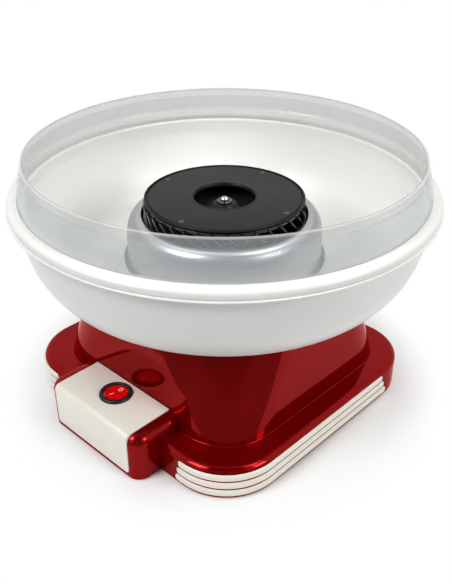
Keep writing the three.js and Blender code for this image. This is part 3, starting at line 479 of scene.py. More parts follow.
yellow_brass = shader_of("yellow_brass", (0.58, 0.4, 0.15), 0.3, 1.0)
tint(yellow_brass, (0.5, 0.34, 0.12), (0.62, 0.44, 0.18), 90)
gloss(yellow_brass, 0.285, 0.4, 90)
grain(yellow_brass, 900, 0.08, 0.00002)

pale_ceramic = shader_of("pale_ceramic", (0.68, 0.64, 0.55), 0.6)
tint(pale_ceramic, (0.62, 0.58, 0.5), (0.74, 0.7, 0.62), 150)
gloss(pale_ceramic, 0.5, 0.7, 150)
grain(pale_ceramic, 1500, 0.3, 0.00004)
print("finishes:", len(bpy.data.materials))

# %% [markdown]
# ## The red housing
#
# Plinth and pedestal are one moulding. Both are rounded squares, so one stack of rings makes them: up the
# plinth's wall, over its rounded edge, in across its top, up through a small fillet and along the leaning
# pedestal, whose corners open as they rise. Flat faces must stay truly flat, or their mirror images bend, so
# each edge has a second ring close to it. Subdivision Surface would be quicker, but it turns flat faces into
# soft pillows.

# %% Plinth and pedestal
PLINTH = (111.5, -112.8, 102.2, 41.5)
PLINTH_LOW, PLINTH_TOP, PLINTH_EDGE = 1.0, 25.2, 4.5
PEDESTAL_TOP, PEDESTAL_HALF, PEDESTAL_SLOPE = 92.0, 95.6, 0.1
PEDESTAL_CORNER, CORNER_GROWTH = 38.0, 0.42
PEDESTAL_BACK_IN = 6.2
FILLET = 0.5
LIP = 0.5


def plinth_ring(inset, z):
    half, front, back, corner = PLINTH
    return outline(inset - half, half - inset, front + inset, back - inset, corner - inset, z)


def pedestal_ring(out, z):
    half = PEDESTAL_HALF - PEDESTAL_SLOPE * (z - PLINTH_TOP) + out
    corner = PEDESTAL_CORNER + CORNER_GROWTH * (z - PLINTH_TOP) + out
    return outline(-half, half, -half, half - PEDESTAL_BACK_IN, corner, z)


def wall_rings(ring_at, top, edge):
    """Up a moulded wall, from its broken foot over its rounded edge, ring_at giving one ring."""
    rings = [ring_at(LIP, PLINTH_LOW)]
    for i in range(1, 4):
        a = QUARTER * i / 3
        rings.append(ring_at(LIP * (1 - math.sin(a)), PLINTH_LOW + LIP * (1 - math.cos(a))))
    rings.append(ring_at(0, PLINTH_LOW + 2 * LIP))
    rings.append(ring_at(0, top - edge - LIP))
    for i in range(9):
        a = QUARTER * i / 8
        rings.append(ring_at(edge * (1 - math.cos(a)), top - edge * (1 - math.sin(a))))
    rings.append(ring_at(edge + LIP, top))
    return rings


rings = wall_rings(plinth_ring, PLINTH_TOP, PLINTH_EDGE)
rings.append(pedestal_ring(FILLET + LIP, PLINTH_TOP))
for i in range(5):
    a = QUARTER * i / 4
    rings.append(pedestal_ring(FILLET * (1 - math.sin(a)), PLINTH_TOP + FILLET * (1 - math.cos(a))))
rings.append(pedestal_ring(0, PLINTH_TOP + FILLET + LIP))
rings.append(pedestal_ring(0, PEDESTAL_TOP - 4 * LIP))
for i in range(4):
    a = QUARTER * i / 3
    rings.append(pedestal_ring(-2 * LIP * (1 - math.cos(a)), PEDESTAL_TOP - 2 * LIP * (1 - math.sin(a))))
housing = stacked("housing_shell", rings)
print("rings in the housing:", len(rings))

# %% [markdown]
# ## The switch box
#
# The box stands in front of the plinth, part of the same moulding. It is a rounded box: two strong front
# corners, and an edge that rolls over at the top. It could be drawn into the housing's own rings, but a stack
# of its own, joined on by a Boolean, keeps both simple.

# %% Box, joined to the housing
BOX_HALF, BOX_FRONT, BOX_BACK, BOX_TOP = 48.5, -132.8, -60.0, 36.7
BOX_CORNER, BOX_EDGE = 10.0, 6.5


def box_ring(inset, z):
    corner = BOX_CORNER - inset
    return outline(inset - BOX_HALF, BOX_HALF - inset, BOX_FRONT + inset, BOX_BACK - inset, corner, z, 12)


box = stacked("box", wall_rings(box_ring, BOX_TOP, BOX_EDGE))
boolean(housing, box, "UNION")
print("faces of the housing with its box:", len(housing.data.polygons))

# %% [markdown]
# ## The cream panel
#
# The panel is one sheet, bent over the top and front of the box. It is drawn as a side view, swept across the
# box, and its edges are broken by a small bevel. A bent plane with Solidify would look the same, but a side
# view can also be grown by a hair, and the grown one cuts the bed in the box, so a fine dark seam stays round
# the panel.

# %% Panel and its bed
PANEL_HALF, PANEL_TOP, PANEL_FRONT, PANEL_FOOT = 39.0, 37.3, -133.4, 4.7
PANEL_THICK, PANEL_BEND, PANEL_CORNER = 2.2, 3.8, 2.5
PANEL_REAR = -94.6
SEAM = 0.28


def panel_solid(name, grow):
    half = PANEL_HALF + grow
    over = 3 * grow
    foot, rear = PANEL_FOOT - grow, PANEL_REAR + over
    front, top = PANEL_FRONT - over, PANEL_TOP + over
    under = PANEL_THICK + grow
    side = [(rear, PANEL_TOP - under), (rear, top)]
    for i in range(13):
        a = QUARTER * i / 12
        y = PANEL_FRONT + PANEL_BEND - (PANEL_BEND + over) * math.sin(a)
        z = PANEL_TOP - PANEL_BEND + (PANEL_BEND + over) * math.cos(a)
        side.append((y, z))
    side += [(front, foot), (PANEL_FRONT + under, foot)]
    inner = PANEL_BEND - PANEL_THICK
    for i in range(7):
        a = QUARTER * (1 - i / 6)
        y = PANEL_FRONT + under + inner - inner * math.sin(a)
        z = PANEL_TOP - under - inner + inner * math.cos(a)
        side.append((y, z))
    count = len(side)
    points = [(-half, y, z) for y, z in side] + [(half, y, z) for y, z in side]
    faces = [list(range(count)), [count + k for k in range(count)][::-1]]
    for k in range(count):
        n = (k + 1) % count
        faces.append([k, count + k, count + n, n])
    made = mesh_object(name, points, faces)
    work = bmesh.new()
    work.from_mesh(made.data)
    low = [
        e
        for e in work.edges
        if all(v.co.z < (foot + 0.1) * MM for v in e.verts)
        and abs(e.verts[0].co.x - e.verts[1].co.x) < MM
    ]
    bmesh.ops.bevel(
        work, geom=low, offset=PANEL_CORNER * MM, segments=6, affect="EDGES", profile=0.5
    )
    work.to_mesh(made.data)
    work.free()
    return made


boolean(housing, panel_solid("bed", SEAM), "DIFFERENCE")

# The room of the base plate is cut from below, as wide as the plate and its thin gap
PLATE_GAP, ROOM_WALL = 0.3, 5.0
TONGUE_HALF, TONGUE_CORNER = 45.5, 7
plate_low, plate_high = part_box("base_plate")
room_top = plate_high.z / MM + PLATE_GAP
room = stacked("room", [plinth_ring(ROOM_WALL, -1), plinth_ring(ROOM_WALL, room_top)])
tongue_front = plate_low.y / MM - PLATE_GAP
tongue = stacked(
    "tongue",
    [outline(-TONGUE_HALF, TONGUE_HALF, tongue_front, -60, TONGUE_CORNER, z) for z in (-1, room_top)],
)
boolean(room, tongue, "UNION")
boolean(housing, room, "DIFFERENCE")
housing = resmooth(housing)
fit(housing, "base", red_lacquer, "red_gloss", "housing")

panel = panel_solid("switch_panel_skin", 0)
broken_edge = {"width": 0.35 * MM, "segments": 3, "limit_method": "ANGLE", "angle_limit": math.radians(40)}
settled(panel, [("BEVEL", broken_edge)])
panel = resmooth(panel, 40)
fit(panel, "base", cream_plastic, "cream", "switch_panel")

# %% [markdown]
# ## The cream strips
#
# Three strips run round each front corner of the plinth. A strip follows a path and keeps one section, so
# Geometry Nodes sweep it: a rounded rectangle along the path, drawn in at both ends by a quarter-circle rule
# so that the ends are round in every direction. A curve with a bevel object would sweep it too, but would cut
# its ends flat.

# %% Strip nodes
def new_tree(name, inputs):
    tree = bpy.data.node_groups.new(name, "GeometryNodeTree")
    tree.interface.new_socket(name="Geometry", in_out="OUTPUT", socket_type="NodeSocketGeometry")
    tree.interface.new_socket(name="Geometry", in_out="INPUT", socket_type="NodeSocketGeometry")
    for title, kind in inputs:
        tree.interface.new_socket(name=title, in_out="INPUT", socket_type=kind)
    return tree, tree.nodes.new("NodeGroupInput"), tree.nodes.new("NodeGroupOutput")


def baked(name, mesh, tree, values, material, sharp=32):
    """Runs a tree on a mesh with its named inputs and returns the plain result."""
    carrier = bpy.data.objects.new(name, mesh)
    bpy.context.scene.collection.objects.link(carrier)
    modifier = carrier.modifiers.new("Made", "NODES")
    modifier.node_group = tree
    for item in tree.interface.items_tree:
        if item.item_type == "SOCKET" and item.in_out == "INPUT" and item.name in values:
            modifier[item.identifier] = values[item.name]
    carrier.update_tag()
    graph = bpy.context.evaluated_depsgraph_get()
    result = bpy.data.meshes.new_from_object(carrier.evaluated_get(graph))
    carrier.modifiers.clear()
    bpy.data.objects.remove(carrier)
    made = smooth_object(name, result, sharp)
    made.data.materials.clear()
    made.data.materials.append(material)
    return made


def finish_tree(tree, geometry, given, result):
    """Every tree ends in real geometry that carries its finish."""
    real = add_node(tree, "GeometryNodeRealizeInstances", {"Geometry": geometry})
    sockets = {"Geometry": real.outputs["Geometry"], "Material": given.outputs["Finish"]}
    painted = add_node(tree, "GeometryNodeSetMaterial", sockets)
    tree.links.new(painted.outputs["Geometry"], result.inputs["Geometry"])


strip_tree, given, result = new_tree(
    "swept_strip",
    [
        ("Height", "NodeSocketFloat"),
        ("Depth", "NodeSocketFloat"),
        ("Rounding", "NodeSocketFloat"),
        ("End length", "NodeSocketFloat"),
        ("Finish", "NodeSocketMaterial"),
    ],
)
length = given.outputs["End length"]
to_curve = add_node(strip_tree, "GeometryNodeMeshToCurve", {"Mesh": given.outputs["Geometry"]})
bare_curve = {"Curve": to_curve.outputs["Curve"]}
upright = add_node(strip_tree, "GeometryNodeSetCurveNormal", bare_curve, mode="Z_UP")
along = add_node(strip_tree, "GeometryNodeSplineParameter").outputs["Length"]
whole = add_node(strip_tree, "GeometryNodeSplineLength").outputs["Length"]
rest = math_node(strip_tree, "SUBTRACT", whole, along)
near = math_node(strip_tree, "MINIMUM", along, rest)
share = math_node(strip_tree, "DIVIDE", near, length, clamp=True)
back = math_node(strip_tree, "SUBTRACT", 1.0, share)
square = math_node(strip_tree, "MULTIPLY", back, back)
left = math_node(strip_tree, "SUBTRACT", 1.0, square)
root = math_node(strip_tree, "SQRT", left)
wide = math_node(strip_tree, "MAXIMUM", root, 0.03)
sides = {"Width": given.outputs["Depth"], "Height": given.outputs["Height"]}
section = add_node(strip_tree, "GeometryNodeCurvePrimitiveQuadrilateral", sides)
corners = {
    "Curve": section.outputs["Curve"],
    "Radius": given.outputs["Rounding"],
    "Count": 6,
    "Limit Radius": True,
}
rounded = add_node(strip_tree, "GeometryNodeFilletCurve", corners, mode="POLY")
swept = {
    "Curve": upright.outputs["Curve"],
    "Profile Curve": rounded.outputs["Curve"],
    "Scale": wide,
    "Fill Caps": True,
}
sweep = add_node(strip_tree, "GeometryNodeCurveToMesh", swept)
finish_tree(strip_tree, sweep.outputs["Mesh"], given, result)
print("strip nodes:", len(strip_tree.nodes))

# %% [markdown]
# A path runs along the plinth's front, round its corner and along its side. Three of them, one above the
# other, and their mirror images on the left give six strips from one tree. The real strips end one after the
# other, so each row has its own start and end.

# %% Six strips
STRIP_LOW, STRIP_HIGH, STRIP_SEAM = 2.8, 21.2, 1.1
STRIP_STARTS, STRIP_ENDS = (62.7, 64.2, 65.7), (62.5, 59.5, 56.5)
STRIP_PROUD, STRIP_DEPTH, STRIP_ROUND = 0.95, 3.0, 1.45
END_STEPS = (0, 0.15, 0.4, 0.8, 1.3, 2.0, 3.0)


def strip_path(side, start, end, z):
    """Points along the plinth's wall, close together at both ends and round the corner."""
    half, front, _, corner = PLINTH
    bend_x, bend_y = half - corner, front + corner
    inset = STRIP_DEPTH / 2 - STRIP_PROUD
    ease = END_STEPS[-1]
    route = [(start + step, front + inset) for step in END_STEPS]
    route.append(((start + ease + bend_x) / 2, front + inset))
    for i in range(25):
        a = -QUARTER + QUARTER * i / 24
        route.append((bend_x + (corner - inset) * math.cos(a), bend_y + (corner - inset) * math.sin(a)))
    for i in range(1, 10):
        route.append((half - inset, bend_y + (end - ease - bend_y) * i / 10))
    route += [(half - inset, end - step) for step in END_STEPS[::-1]]
    mesh = bpy.data.meshes.new("path")
    points = [Vector((side * x, y, z)) * MM for x, y in route]
    mesh.from_pydata(points, [(i, i + 1) for i in range(len(route) - 1)], [])
    return mesh


strip_pitch = (STRIP_HIGH - STRIP_LOW + STRIP_SEAM) / 3
strip_high = strip_pitch - STRIP_SEAM
for side, word in ((1, "right"), (-1, "left")):
    for row in range(3):
        middle = STRIP_LOW + row * strip_pitch + strip_high / 2
        path = strip_path(side, STRIP_STARTS[row], STRIP_ENDS[row], middle)
        strip = baked(
            f"trim_{word}_{row + 1}",
            path,
            strip_tree,
            {
                "Height": strip_high * MM,
                "Depth": STRIP_DEPTH * MM,
                "Rounding": STRIP_ROUND * MM,
                "End length": END_STEPS[-1] * MM,
                "Finish": cream_plastic,
            },
            cream_plastic,
            50,
        )
        fit(strip, "base", cream_plastic, "cream", f"strip_{word}_{row + 1}")
low, high = [Vector(f(c[k] for c in strip.bound_box) for k in range(3)) for f in (min, max)]
print("one strip measures", [round(v / MM, 2) for v in high - low])

# %% [markdown]
# ## The switch
#
# A round rocker sits in a black bezel. The bezel is turned, with a rounded edge that catches the light. The
# rocker is made ring by ring, because its top is a shallow valley and not a turned shape. It is tipped back,
# because the switch is off. Its two marks, a ring and a bar, lie on the slopes of the valley.

# %% Bezel
SWITCH_Y = -109.3
BEZEL_LOW, BEZEL_TOP = 37.3, 39.4
bezel = turned(
    "switch_bezel",
    [
        (8.75, 26.0, 0),
        (9.8, 26.0, 0),
        (9.8, BEZEL_LOW, 0),
        (11.8, BEZEL_LOW, 0.2),
        (11.8, BEZEL_LOW + 0.9, 0.5),
        (10.9, BEZEL_TOP, 0.7),
        (9.2, BEZEL_TOP, 0.35),
        (8.75, BEZEL_TOP - 0.8, 0.3),
    ],
    96,
)
floor_disc = turned("well_floor", [(0, 25.6, 0), (9.6, 25.6, 0), (9.6, 26.4, 0), (0, 26.4, 0)], 48, False)


def moved(piece, x, y, z):
    for vertex in piece.data.vertices:
        vertex.co += Vector((x, y, z)) * MM
    return piece


def joined(first, *others):
    """One mesh from several, for what is one piece on the real machine."""
    work = bmesh.new()
    for part in (first, *others):
        work.from_mesh(part.data)
    name = first.name
    mesh = bpy.data.meshes.new(name)
    work.to_mesh(mesh)
    work.free()
    for part in (first, *others):
        bpy.data.objects.remove(part)
    return smooth_object(name, mesh)


bezel = joined(bezel, floor_disc)
fit(moved(bezel, 0, SWITCH_Y, 0), "base", black_satin, "black_plastic", "switch_body")

# %% [markdown]
# The rocker is drawn level, about its own pivot, and each point is then tipped into place. The marks use the
# same two rules, so they always lie on the rocker's surface. A texture could print them, but small meshes
# stay crisp from near by.

# %% Rocker and its marks
ROCKER_R, ROCKER_TILT, PIVOT_Z = 8.1, math.radians(7), 36.3
ROCKER_END, ROCKER_DIP, ROCKER_EDGE = 3.4, 2.3, 0.6
SKIRT_Z, STEM_Z, STEM_IN = -1.5, -6.0, 2.4
MARK_AWAY, MARK_LIFT = 4.1, 0.04


def rocker_height(y):
    """The valley across the rocker: low in the middle, high at both ends."""
    return ROCKER_DIP + (ROCKER_END - ROCKER_DIP) * (y / ROCKER_R) ** 2


def tipped(point):
    """From the rocker's own place to the machine's, with the off side pressed."""
    x, y, z = point
    c, s = math.cos(-ROCKER_TILT), math.sin(-ROCKER_TILT)
    return (x, SWITCH_Y + y * c - z * s, PIVOT_Z + y * s + z * c)


def rocker_solid():
    sides, rows = 64, 10
    points, faces = [(0, 0, rocker_height(0))], []
    flat = ROCKER_R - ROCKER_EDGE
    rims = [(flat * (i + 1) / rows, 0.0) for i in range(rows)]
    for i in range(1, 5):
        a = QUARTER * i / 4
        rims.append((flat + ROCKER_EDGE * math.sin(a), -ROCKER_EDGE * (1 - math.cos(a))))
    rims += [(ROCKER_R, None), (ROCKER_R - STEM_IN, None)]
    for number, (radius, drop) in enumerate(rims):
        for k in range(sides):
            a = 2 * math.pi * k / sides
            x, y = radius * math.cos(a), radius * math.sin(a)
            if drop is None:
                z = SKIRT_Z if number == len(rims) - 2 else STEM_Z
            else:
                z = rocker_height(min(abs(y), flat)) + drop
            points.append((x, y, z))
    for k in range(sides):
        faces.append([0, 1 + k, 1 + (k + 1) % sides])
    for i in range(len(rims) - 1):
        for k in range(sides):
            n = (k + 1) % sides
            a, b = 1 + i * sides, 1 + (i + 1) * sides
            faces.append([a + k, b + k, b + n, a + n])
    last = 1 + (len(rims) - 1) * sides
    faces.append([last + k for k in range(sides)])
    return mesh_object("rocker_cap", [tipped(p) for p in points], faces, 50)


rocker = rocker_solid()
fit(rocker, "rocker", switch_red, "switch_red", "rocker")


def flat_mark(name, inner, outer):
    """A printed mark between two loops of points, laid on the rocker's slope."""
    points = []
    for lift in (MARK_LIFT, -MARK_LIFT):
        for loop in (outer, inner):
            points += [tipped((x, y, rocker_height(y) + lift)) for x, y in loop]
    count = len(outer)
    faces = []
    for k in range(count):
        n = (k + 1) % count
        faces.append([k, n, count + n, count + k])
        faces.append([2 * count + k, 3 * count + k, 3 * count + n, 2 * count + n])
        faces.append([k, 2 * count + k, 2 * count + n, n])
        faces.append([count + k, count + n, 3 * count + n, 3 * count + k])
    return mesh_object(name, points, faces)


def oval(y, wide, high, count=32):
    turns = [2 * math.pi * k / count for k in range(count)]
    return [(wide * math.cos(a), y + high * math.sin(a)) for a in turns]


ring_mark = flat_mark("mark_off", oval(MARK_AWAY, 1.0, 1.25), oval(MARK_AWAY, 1.5, 1.8))
fit(ring_mark, "rocker", print_white, "switch_red")
bar_mark = flat_mark("mark_on", oval(-MARK_AWAY, 0.01, 1.4), oval(-MARK_AWAY, 0.4, 2.1))
fit(bar_mark, "rocker", print_white, "switch_red")

# %% [markdown]
# ## The bowl
#
# The bowl is turned: a hub that stands round the collar, a flat seat, one long side curve and a rolled rim
# with a groove and a thin bead. The side is a Bezier curve with two pulls, and the inside is the same curve
# set in by the wall. Half a sphere would be quicker, but the real side is steep above and flat below.

# %% Bowl
SEAT_Z, HUB_R, HUB_TOP = 92.3, 73.4, 108.0
BOWL_WALL = 2.2


def bezier(a, b, c, d, steps):
    out = []
    for i in range(steps + 1):
        t = i / steps
        s = 1 - t
        pulls = (s**3, 3 * s * s * t, 3 * s * t * t, t**3)
        out.append(tuple(sum(w * p[k] for w, p in zip(pulls, (a, b, c, d))) for k in range(2)))
    return out


def side_curve(inset, steps):
    return bezier(
        (94.7, SEAT_Z + inset),
        (94.7 + 27.8 - inset / 2, SEAT_Z + inset),
        (141.5 - inset, 112.0),
        (143.0 - inset, 152.0),
        steps,
    )


bowl_section = [
    (HUB_R, SEAT_Z + 5, 3),
    (HUB_R + 5, SEAT_Z, 3),
    *[(r, z, 0) for r, z in side_curve(0, 40)],
    (143.6, 154.3, 1.0),
    (149.2, 155.1, 0.5),
    (150.0, 155.6, 0.35),
    (150.0, 156.4, 0.35),
    (149.0, 156.9, 0.3),
    (149.6, 158.0, 0.6),
    (149.3, 161.2, 2.2),
    (146.3, 163.4, 2.2),
    (142.2, 163.4, 0.4),
    (141.8, 162.0, 0.3),
    (137.6, 162.0, 0.8),
    (137.6, 160.0, 0.8),
    *[(r, z, 0) for r, z in side_curve(BOWL_WALL, 32)[::-1]],
    (HUB_R + 5 + BOWL_WALL, SEAT_Z + BOWL_WALL, 4),
    (HUB_R + BOWL_WALL, SEAT_Z + 5 + BOWL_WALL, 4),
    (HUB_R + BOWL_WALL / 2 + 0.3, HUB_TOP, 0.4),
    (HUB_R, HUB_TOP, 0.4),
]


def mark_painted_light_facing(piece, upward, inward):
    """Writes how far each face looks up and in, for the light and shade painted on inner and outer faces."""
    painted_light_facing = piece.data.attributes.new("painted_light_facing", "FLOAT", "POINT")
    for vertex, mark in zip(piece.data.vertices, painted_light_facing.data):
        outward = Vector((vertex.co.x, vertex.co.y, 0)).normalized().dot(vertex.normal)
        mark.value = min(1, max(0, 0.5 + upward * vertex.normal.z - inward * outward))


bowl = turned("bowl_skin", bowl_section, 192, True, 40)
# Painted light: the bowl's faces that look up and in are coloured whiter
mark_painted_light_facing(bowl, 1, 0.9)
fit(bowl, "bowl", milk_plastic, "milk_white", "bowl")

# %% [markdown]
# ## The guard
#
# A clear ring stands on a ledge inside the rim. Its foot is a thicker, upright band, which looks whiter
# because more plastic is seen there; the thin wall above it leans in a little. A cylinder with Solidify would
# be equally thick all the way up, so the ring is turned from a section of its own.

# %% Guard
GUARD_LOW, GUARD_BAND, GUARD_TOP = 162.3, 171.3, 188.9
FOOT_R, BAND_R, EDGE_R = 141.6, 141.2, 136.8
GUARD_WALL, FOOT_WALL = 1.6, 2.6
guard = turned(
    "guard_ring",
    [
        (FOOT_R - FOOT_WALL, GUARD_LOW, 0.3),
        (FOOT_R, GUARD_LOW, 0.3),
        (BAND_R, GUARD_BAND, 3),
        (EDGE_R, GUARD_TOP, 0.5),
        (EDGE_R - GUARD_WALL, GUARD_TOP, 0.5),
        (BAND_R - GUARD_WALL, GUARD_BAND, 0.5),
        (BAND_R - FOOT_WALL, GUARD_BAND - 1.6, 0.5),
    ],
    192,
)
# Painted shade: the guard's inner face is coloured darker
mark_painted_light_facing(guard, 0, 1)
fit(guard, "guard", clear_plastic, "clear_guard", "guard")

# %% [markdown]
# ## Collar, heating dish and ring
#
# The collar is spun aluminium: a straight wall, a domed shoulder and a round mouth that the head turns in.
# Turning it is the same work as spinning it: one section gives its outside, and the same curve set in by the
# sheet gives its inside. Under the head lie the heating dish and its ring, seen once the head is pulled off.

# %% Collar
COLLAR_R, COLLAR_MOUTH, COLLAR_SHEET = 70.5, 59.6, 1.0
SHOULDER_Z, MOUTH_Z = 124.0, 141.0


def shoulder(inset):
    r, z = COLLAR_R - inset, MOUTH_Z - inset
    return bezier((r, SHOULDER_Z), (r, SHOULDER_Z + 11), (r - 3.8, z), (COLLAR_MOUTH + 1, z), 16)


collar = turned(
    "collar_skin",
    [
        (COLLAR_R - 10, 92.3, 0),
        (COLLAR_R, 92.3, 1.0),
        *[(r, z, 0) for r, z in shoulder(0)],
        (COLLAR_MOUTH, MOUTH_Z, 0.4),
        (COLLAR_MOUTH, MOUTH_Z - COLLAR_SHEET, 0.3),
        *[(r, z, 0) for r, z in shoulder(COLLAR_SHEET)[::-1]],
        (COLLAR_R - COLLAR_SHEET, 93.3, 0.6),
        (COLLAR_R - 10, 93.3, 0),
    ],
    160,
)
fit(collar, "base", spun_aluminium, "aluminium", "collar")

# %% [markdown]
# The heating ring is a round tube with two ends that go down through the dish. A turned circle makes the tube
# and two small pins are joined to it. Blender's torus would do as well, but would need its own smoothing.

# %% Heating ring
HEATER_R, HEATER_THICK = 40, 3.2
PIN_R, PIN_APART = 2, 5
ring_low, ring_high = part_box("heating_ring")
pin_foot, ring_z = ring_low.z / MM, ring_high.z / MM - HEATER_THICK
turns = [2 * math.pi * k / 20 for k in range(20)]
circle = [(HEATER_R + HEATER_THICK * math.cos(a), ring_z + HEATER_THICK * math.sin(a), 0) for a in turns]
heater = turned("heating_ring_skin", circle, 128)
pin_section = [(0, pin_foot, 0), (PIN_R, pin_foot, 0.3), (PIN_R, ring_z, 0), (0, ring_z, 0)]
pins = [moved(turned("end", pin_section, 24, False), x, HEATER_R, 0) for x in (-PIN_APART, PIN_APART)]
heater = joined(heater, *pins)
fit(heater, "base", dull_steel, "steel", "heating_ring")

# %% [markdown]
# ## The sugar head
#
# The head has a black cover with a round hole, a pan below it and a louvred ring round both. Cover, pan and
# the ring's two hoops are turned. A groove near the cover's edge and four small welds break up its flat face.
# Bump could fake them, but the meshes are also kept for themselves, so both are real shape.

# %% Cover and hoops
HEAD_TOP = 152.7
cover = turned(
    "head_cover_skin",
    [
        (21.7, 150.0, 0),
        (55.4, 150.0, 0.3),
        (55.8, 151.3, 0.3),
        (57.2, 151.5, 0.3),
        (57.2, 152.2, 0.3),
        (56.8, HEAD_TOP, 0.3),
        (55.9, HEAD_TOP, 0.3),
        (55.6, HEAD_TOP - 1.3, 0.2),
        (54.7, HEAD_TOP - 1.3, 0.2),
        (54.4, HEAD_TOP - 0.35, 0.3),
        (24.4, HEAD_TOP - 0.35, 0.4),
        (23.6, HEAD_TOP - 0.1, 0.4),
        (22.6, HEAD_TOP - 0.1, 0.5),
        (21.7, HEAD_TOP - 1.4, 0.6),
    ],
    160,
    True,
    25,
)
fit(cover, "head", black_gloss, "black_gloss", "head_cover")

# Four small welds hold the cover on the ring below it
WELD_CIRCLE, WELD_TURN = 50.8, 9.5
face = HEAD_TOP - 0.35
weld_section = [(0, face - 0.3, 0), (2.1, face - 0.1, 0), (1.3, face + 0.14, 0.5), (0, face + 0.2, 0)]
dots = []
for k in range(4):
    a = math.radians(WELD_TURN + 90 * k)
    dot = turned("cover_welds", weld_section, 24, False)
    dots.append(moved(dot, WELD_CIRCLE * math.cos(a), WELD_CIRCLE * math.sin(a), 0))
welds = joined(*dots)
fit(welds, "head", black_fins, "black_gloss")


HOOP_INNER = 50.2


def hoop(name, outer, low, high):
    section = [(HOOP_INNER, low, 0.2), (outer, low, 0.4), (outer, high, 0.4), (HOOP_INNER, high, 0.2)]
    return turned(name, section, 144)


hoops = joined(hoop("fin_hoops", 58.2, 137.0, 139.0), hoop("upper", 55.6, 147.7, 149.7))
fit(hoops, "head", black_fins, "black_gloss", "fin_ring")

# %% [markdown]
# The slanted blades are the form that makes this machine. Each leans 45 degrees, and they repeat round the
# circle, so Geometry Nodes place them: a block is slanted, copied to the points of a circle and turned to
# follow the circle's own direction. An Array modifier could repeat them too, but a tree keeps their number,
# lean and sizes as named inputs. A small bevel then breaks their edges.

# %% Blades by Geometry Nodes
fin_tree, given, result = new_tree(
    "blades_round_a_circle",
    [
        ("Blades", "NodeSocketInt"),
        ("Circle radius", "NodeSocketFloat"),
        ("Slant", "NodeSocketFloat"),
        ("Thickness", "NodeSocketFloat"),
        ("Depth", "NodeSocketFloat"),
        ("Length", "NodeSocketFloat"),
        ("Height", "NodeSocketFloat"),
        ("Finish", "NodeSocketMaterial"),
    ],
)
circle = {"Resolution": given.outputs["Blades"], "Radius": given.outputs["Circle radius"]}
ring = add_node(fin_tree, "GeometryNodeCurvePrimitiveCircle", circle)
tangent = add_node(fin_tree, "GeometryNodeInputTangent")
turn = add_node(
    fin_tree,
    "FunctionNodeAlignRotationToVector",
    {"Vector": tangent.outputs["Tangent"]},
    axis="X",
    pivot_axis="Z",
)
block_sides = {axis: given.outputs[name] for axis, name in zip("XYZ", ("Thickness", "Depth", "Length"))}
size = add_node(fin_tree, "ShaderNodeCombineXYZ", block_sides)
blade = add_node(fin_tree, "GeometryNodeMeshCube", {"Size": size.outputs["Vector"]})
lean = add_node(fin_tree, "ShaderNodeCombineXYZ", {"Y": given.outputs["Slant"]})
slanted = {"Geometry": blade.outputs["Mesh"], "Rotation": lean.outputs["Vector"]}
leaning = add_node(fin_tree, "GeometryNodeTransform", slanted)
placed = {
    "Points": ring.outputs["Curve"],
    "Instance": leaning.outputs["Geometry"],
    "Rotation": turn.outputs["Rotation"],
}
copies = add_node(fin_tree, "GeometryNodeInstanceOnPoints", placed)
lift = add_node(fin_tree, "ShaderNodeCombineXYZ", {"Z": given.outputs["Height"]})
raised = {"Geometry": copies.outputs["Instances"], "Translation": lift.outputs["Vector"]}
raise_up = add_node(fin_tree, "GeometryNodeTransform", raised)
finish_tree(fin_tree, raise_up.outputs["Geometry"], given, result)

blades = baked(
    "fin_blades",
    bpy.data.meshes.new("seed"),
    fin_tree,
    {
        "Blades": 36,
        "Circle radius": 54.3 * MM,
        "Slant": -math.radians(45),
        "Thickness": 1.3 * MM,
        "Depth": 6.6 * MM,
        "Length": 15.1 * MM,
        "Height": 143.35 * MM,
        "Finish": black_fins,
    },
    black_fins,
)
settled(blades, [("BEVEL", {"width": 0.4 * MM, "segments": 2, "limit_method": "ANGLE"})])
blades = resmooth(blades, 50)
fit(blades, "head", black_fins, "black_gloss")

# %% [markdown]
# Through the cover's hole the pan is seen, which rises to the hub in the middle, and the washer that holds
# it. Both are round about the shaft, so both are turned.

# %% Pan and washer
hub_top = 147.6
pan = turned(
    "pan_skin",
    [
        (1.9, hub_top - 1.2, 0),
        (7.0, hub_top - 1.2, 0.5),
        (15.0, 140.0, 1.5),
        (47.3, 140.0, 0.8),
        (48.5, 141.2, 0.8),
        (48.5, 149.7, 0.2),
        (47.3, 149.7, 0.2),
        (47.3, 142.4, 0.8),
        (46.1, 141.2, 0.8),
        (15.6, 141.2, 1.8),
        (7.6, hub_top, 0.8),
        (1.9, hub_top, 0.2),
    ],
    128,
)
fit(pan, "head", black_gloss, "black_gloss", "sugar_pan")
washer = turned(
    "washer_skin",
    [(1.9, 147.9, 0.1), (5.6, 147.9, 0.15), (5.6, 148.8, 0.2), (1.9, 148.8, 0.2)],
    64,
)
fit(washer, "head", black_fins, "steel", "head_washer")

# %% [markdown]
# The screw in the middle is small but bright. Its head is a low dome, so it is turned first. Its six-sided
# socket can't be turned, and is cut out of the dome by a Boolean.

# %% Centre screw
screw = turned(
    "head_screw_skin",
    [
        (0, 142.2, 0),
        (1.6, 142.2, 0.3),
        (1.6, 149.1, 0),
        (2.9, 149.1, 0.2),
        (2.9, 150.2, 0.5),
        (1.9, 151.2, 0.6),
        (0, 151.2, 0),
    ],
    64,
    False,
)
HEX_R = 1.15
hex_points = [(HEX_R * math.cos(math.pi / 3 * k), HEX_R * math.sin(math.pi / 3 * k)) for k in range(6)]
socket_points = [(x, y, 150.0) for x, y in hex_points] + [(x, y, 152.0) for x, y in hex_points]
socket_faces = [[5, 4, 3, 2, 1, 0], [6, 7, 8, 9, 10, 11]]
socket_faces += [[k, (k + 1) % 6, 6 + (k + 1) % 6, 6 + k] for k in range(6)]
socket = mesh_object("socket", socket_points, socket_faces)
boolean(screw, socket, "DIFFERENCE")
screw = resmooth(screw)
fit(screw, "head", bright_steel, "steel", "head_screw")

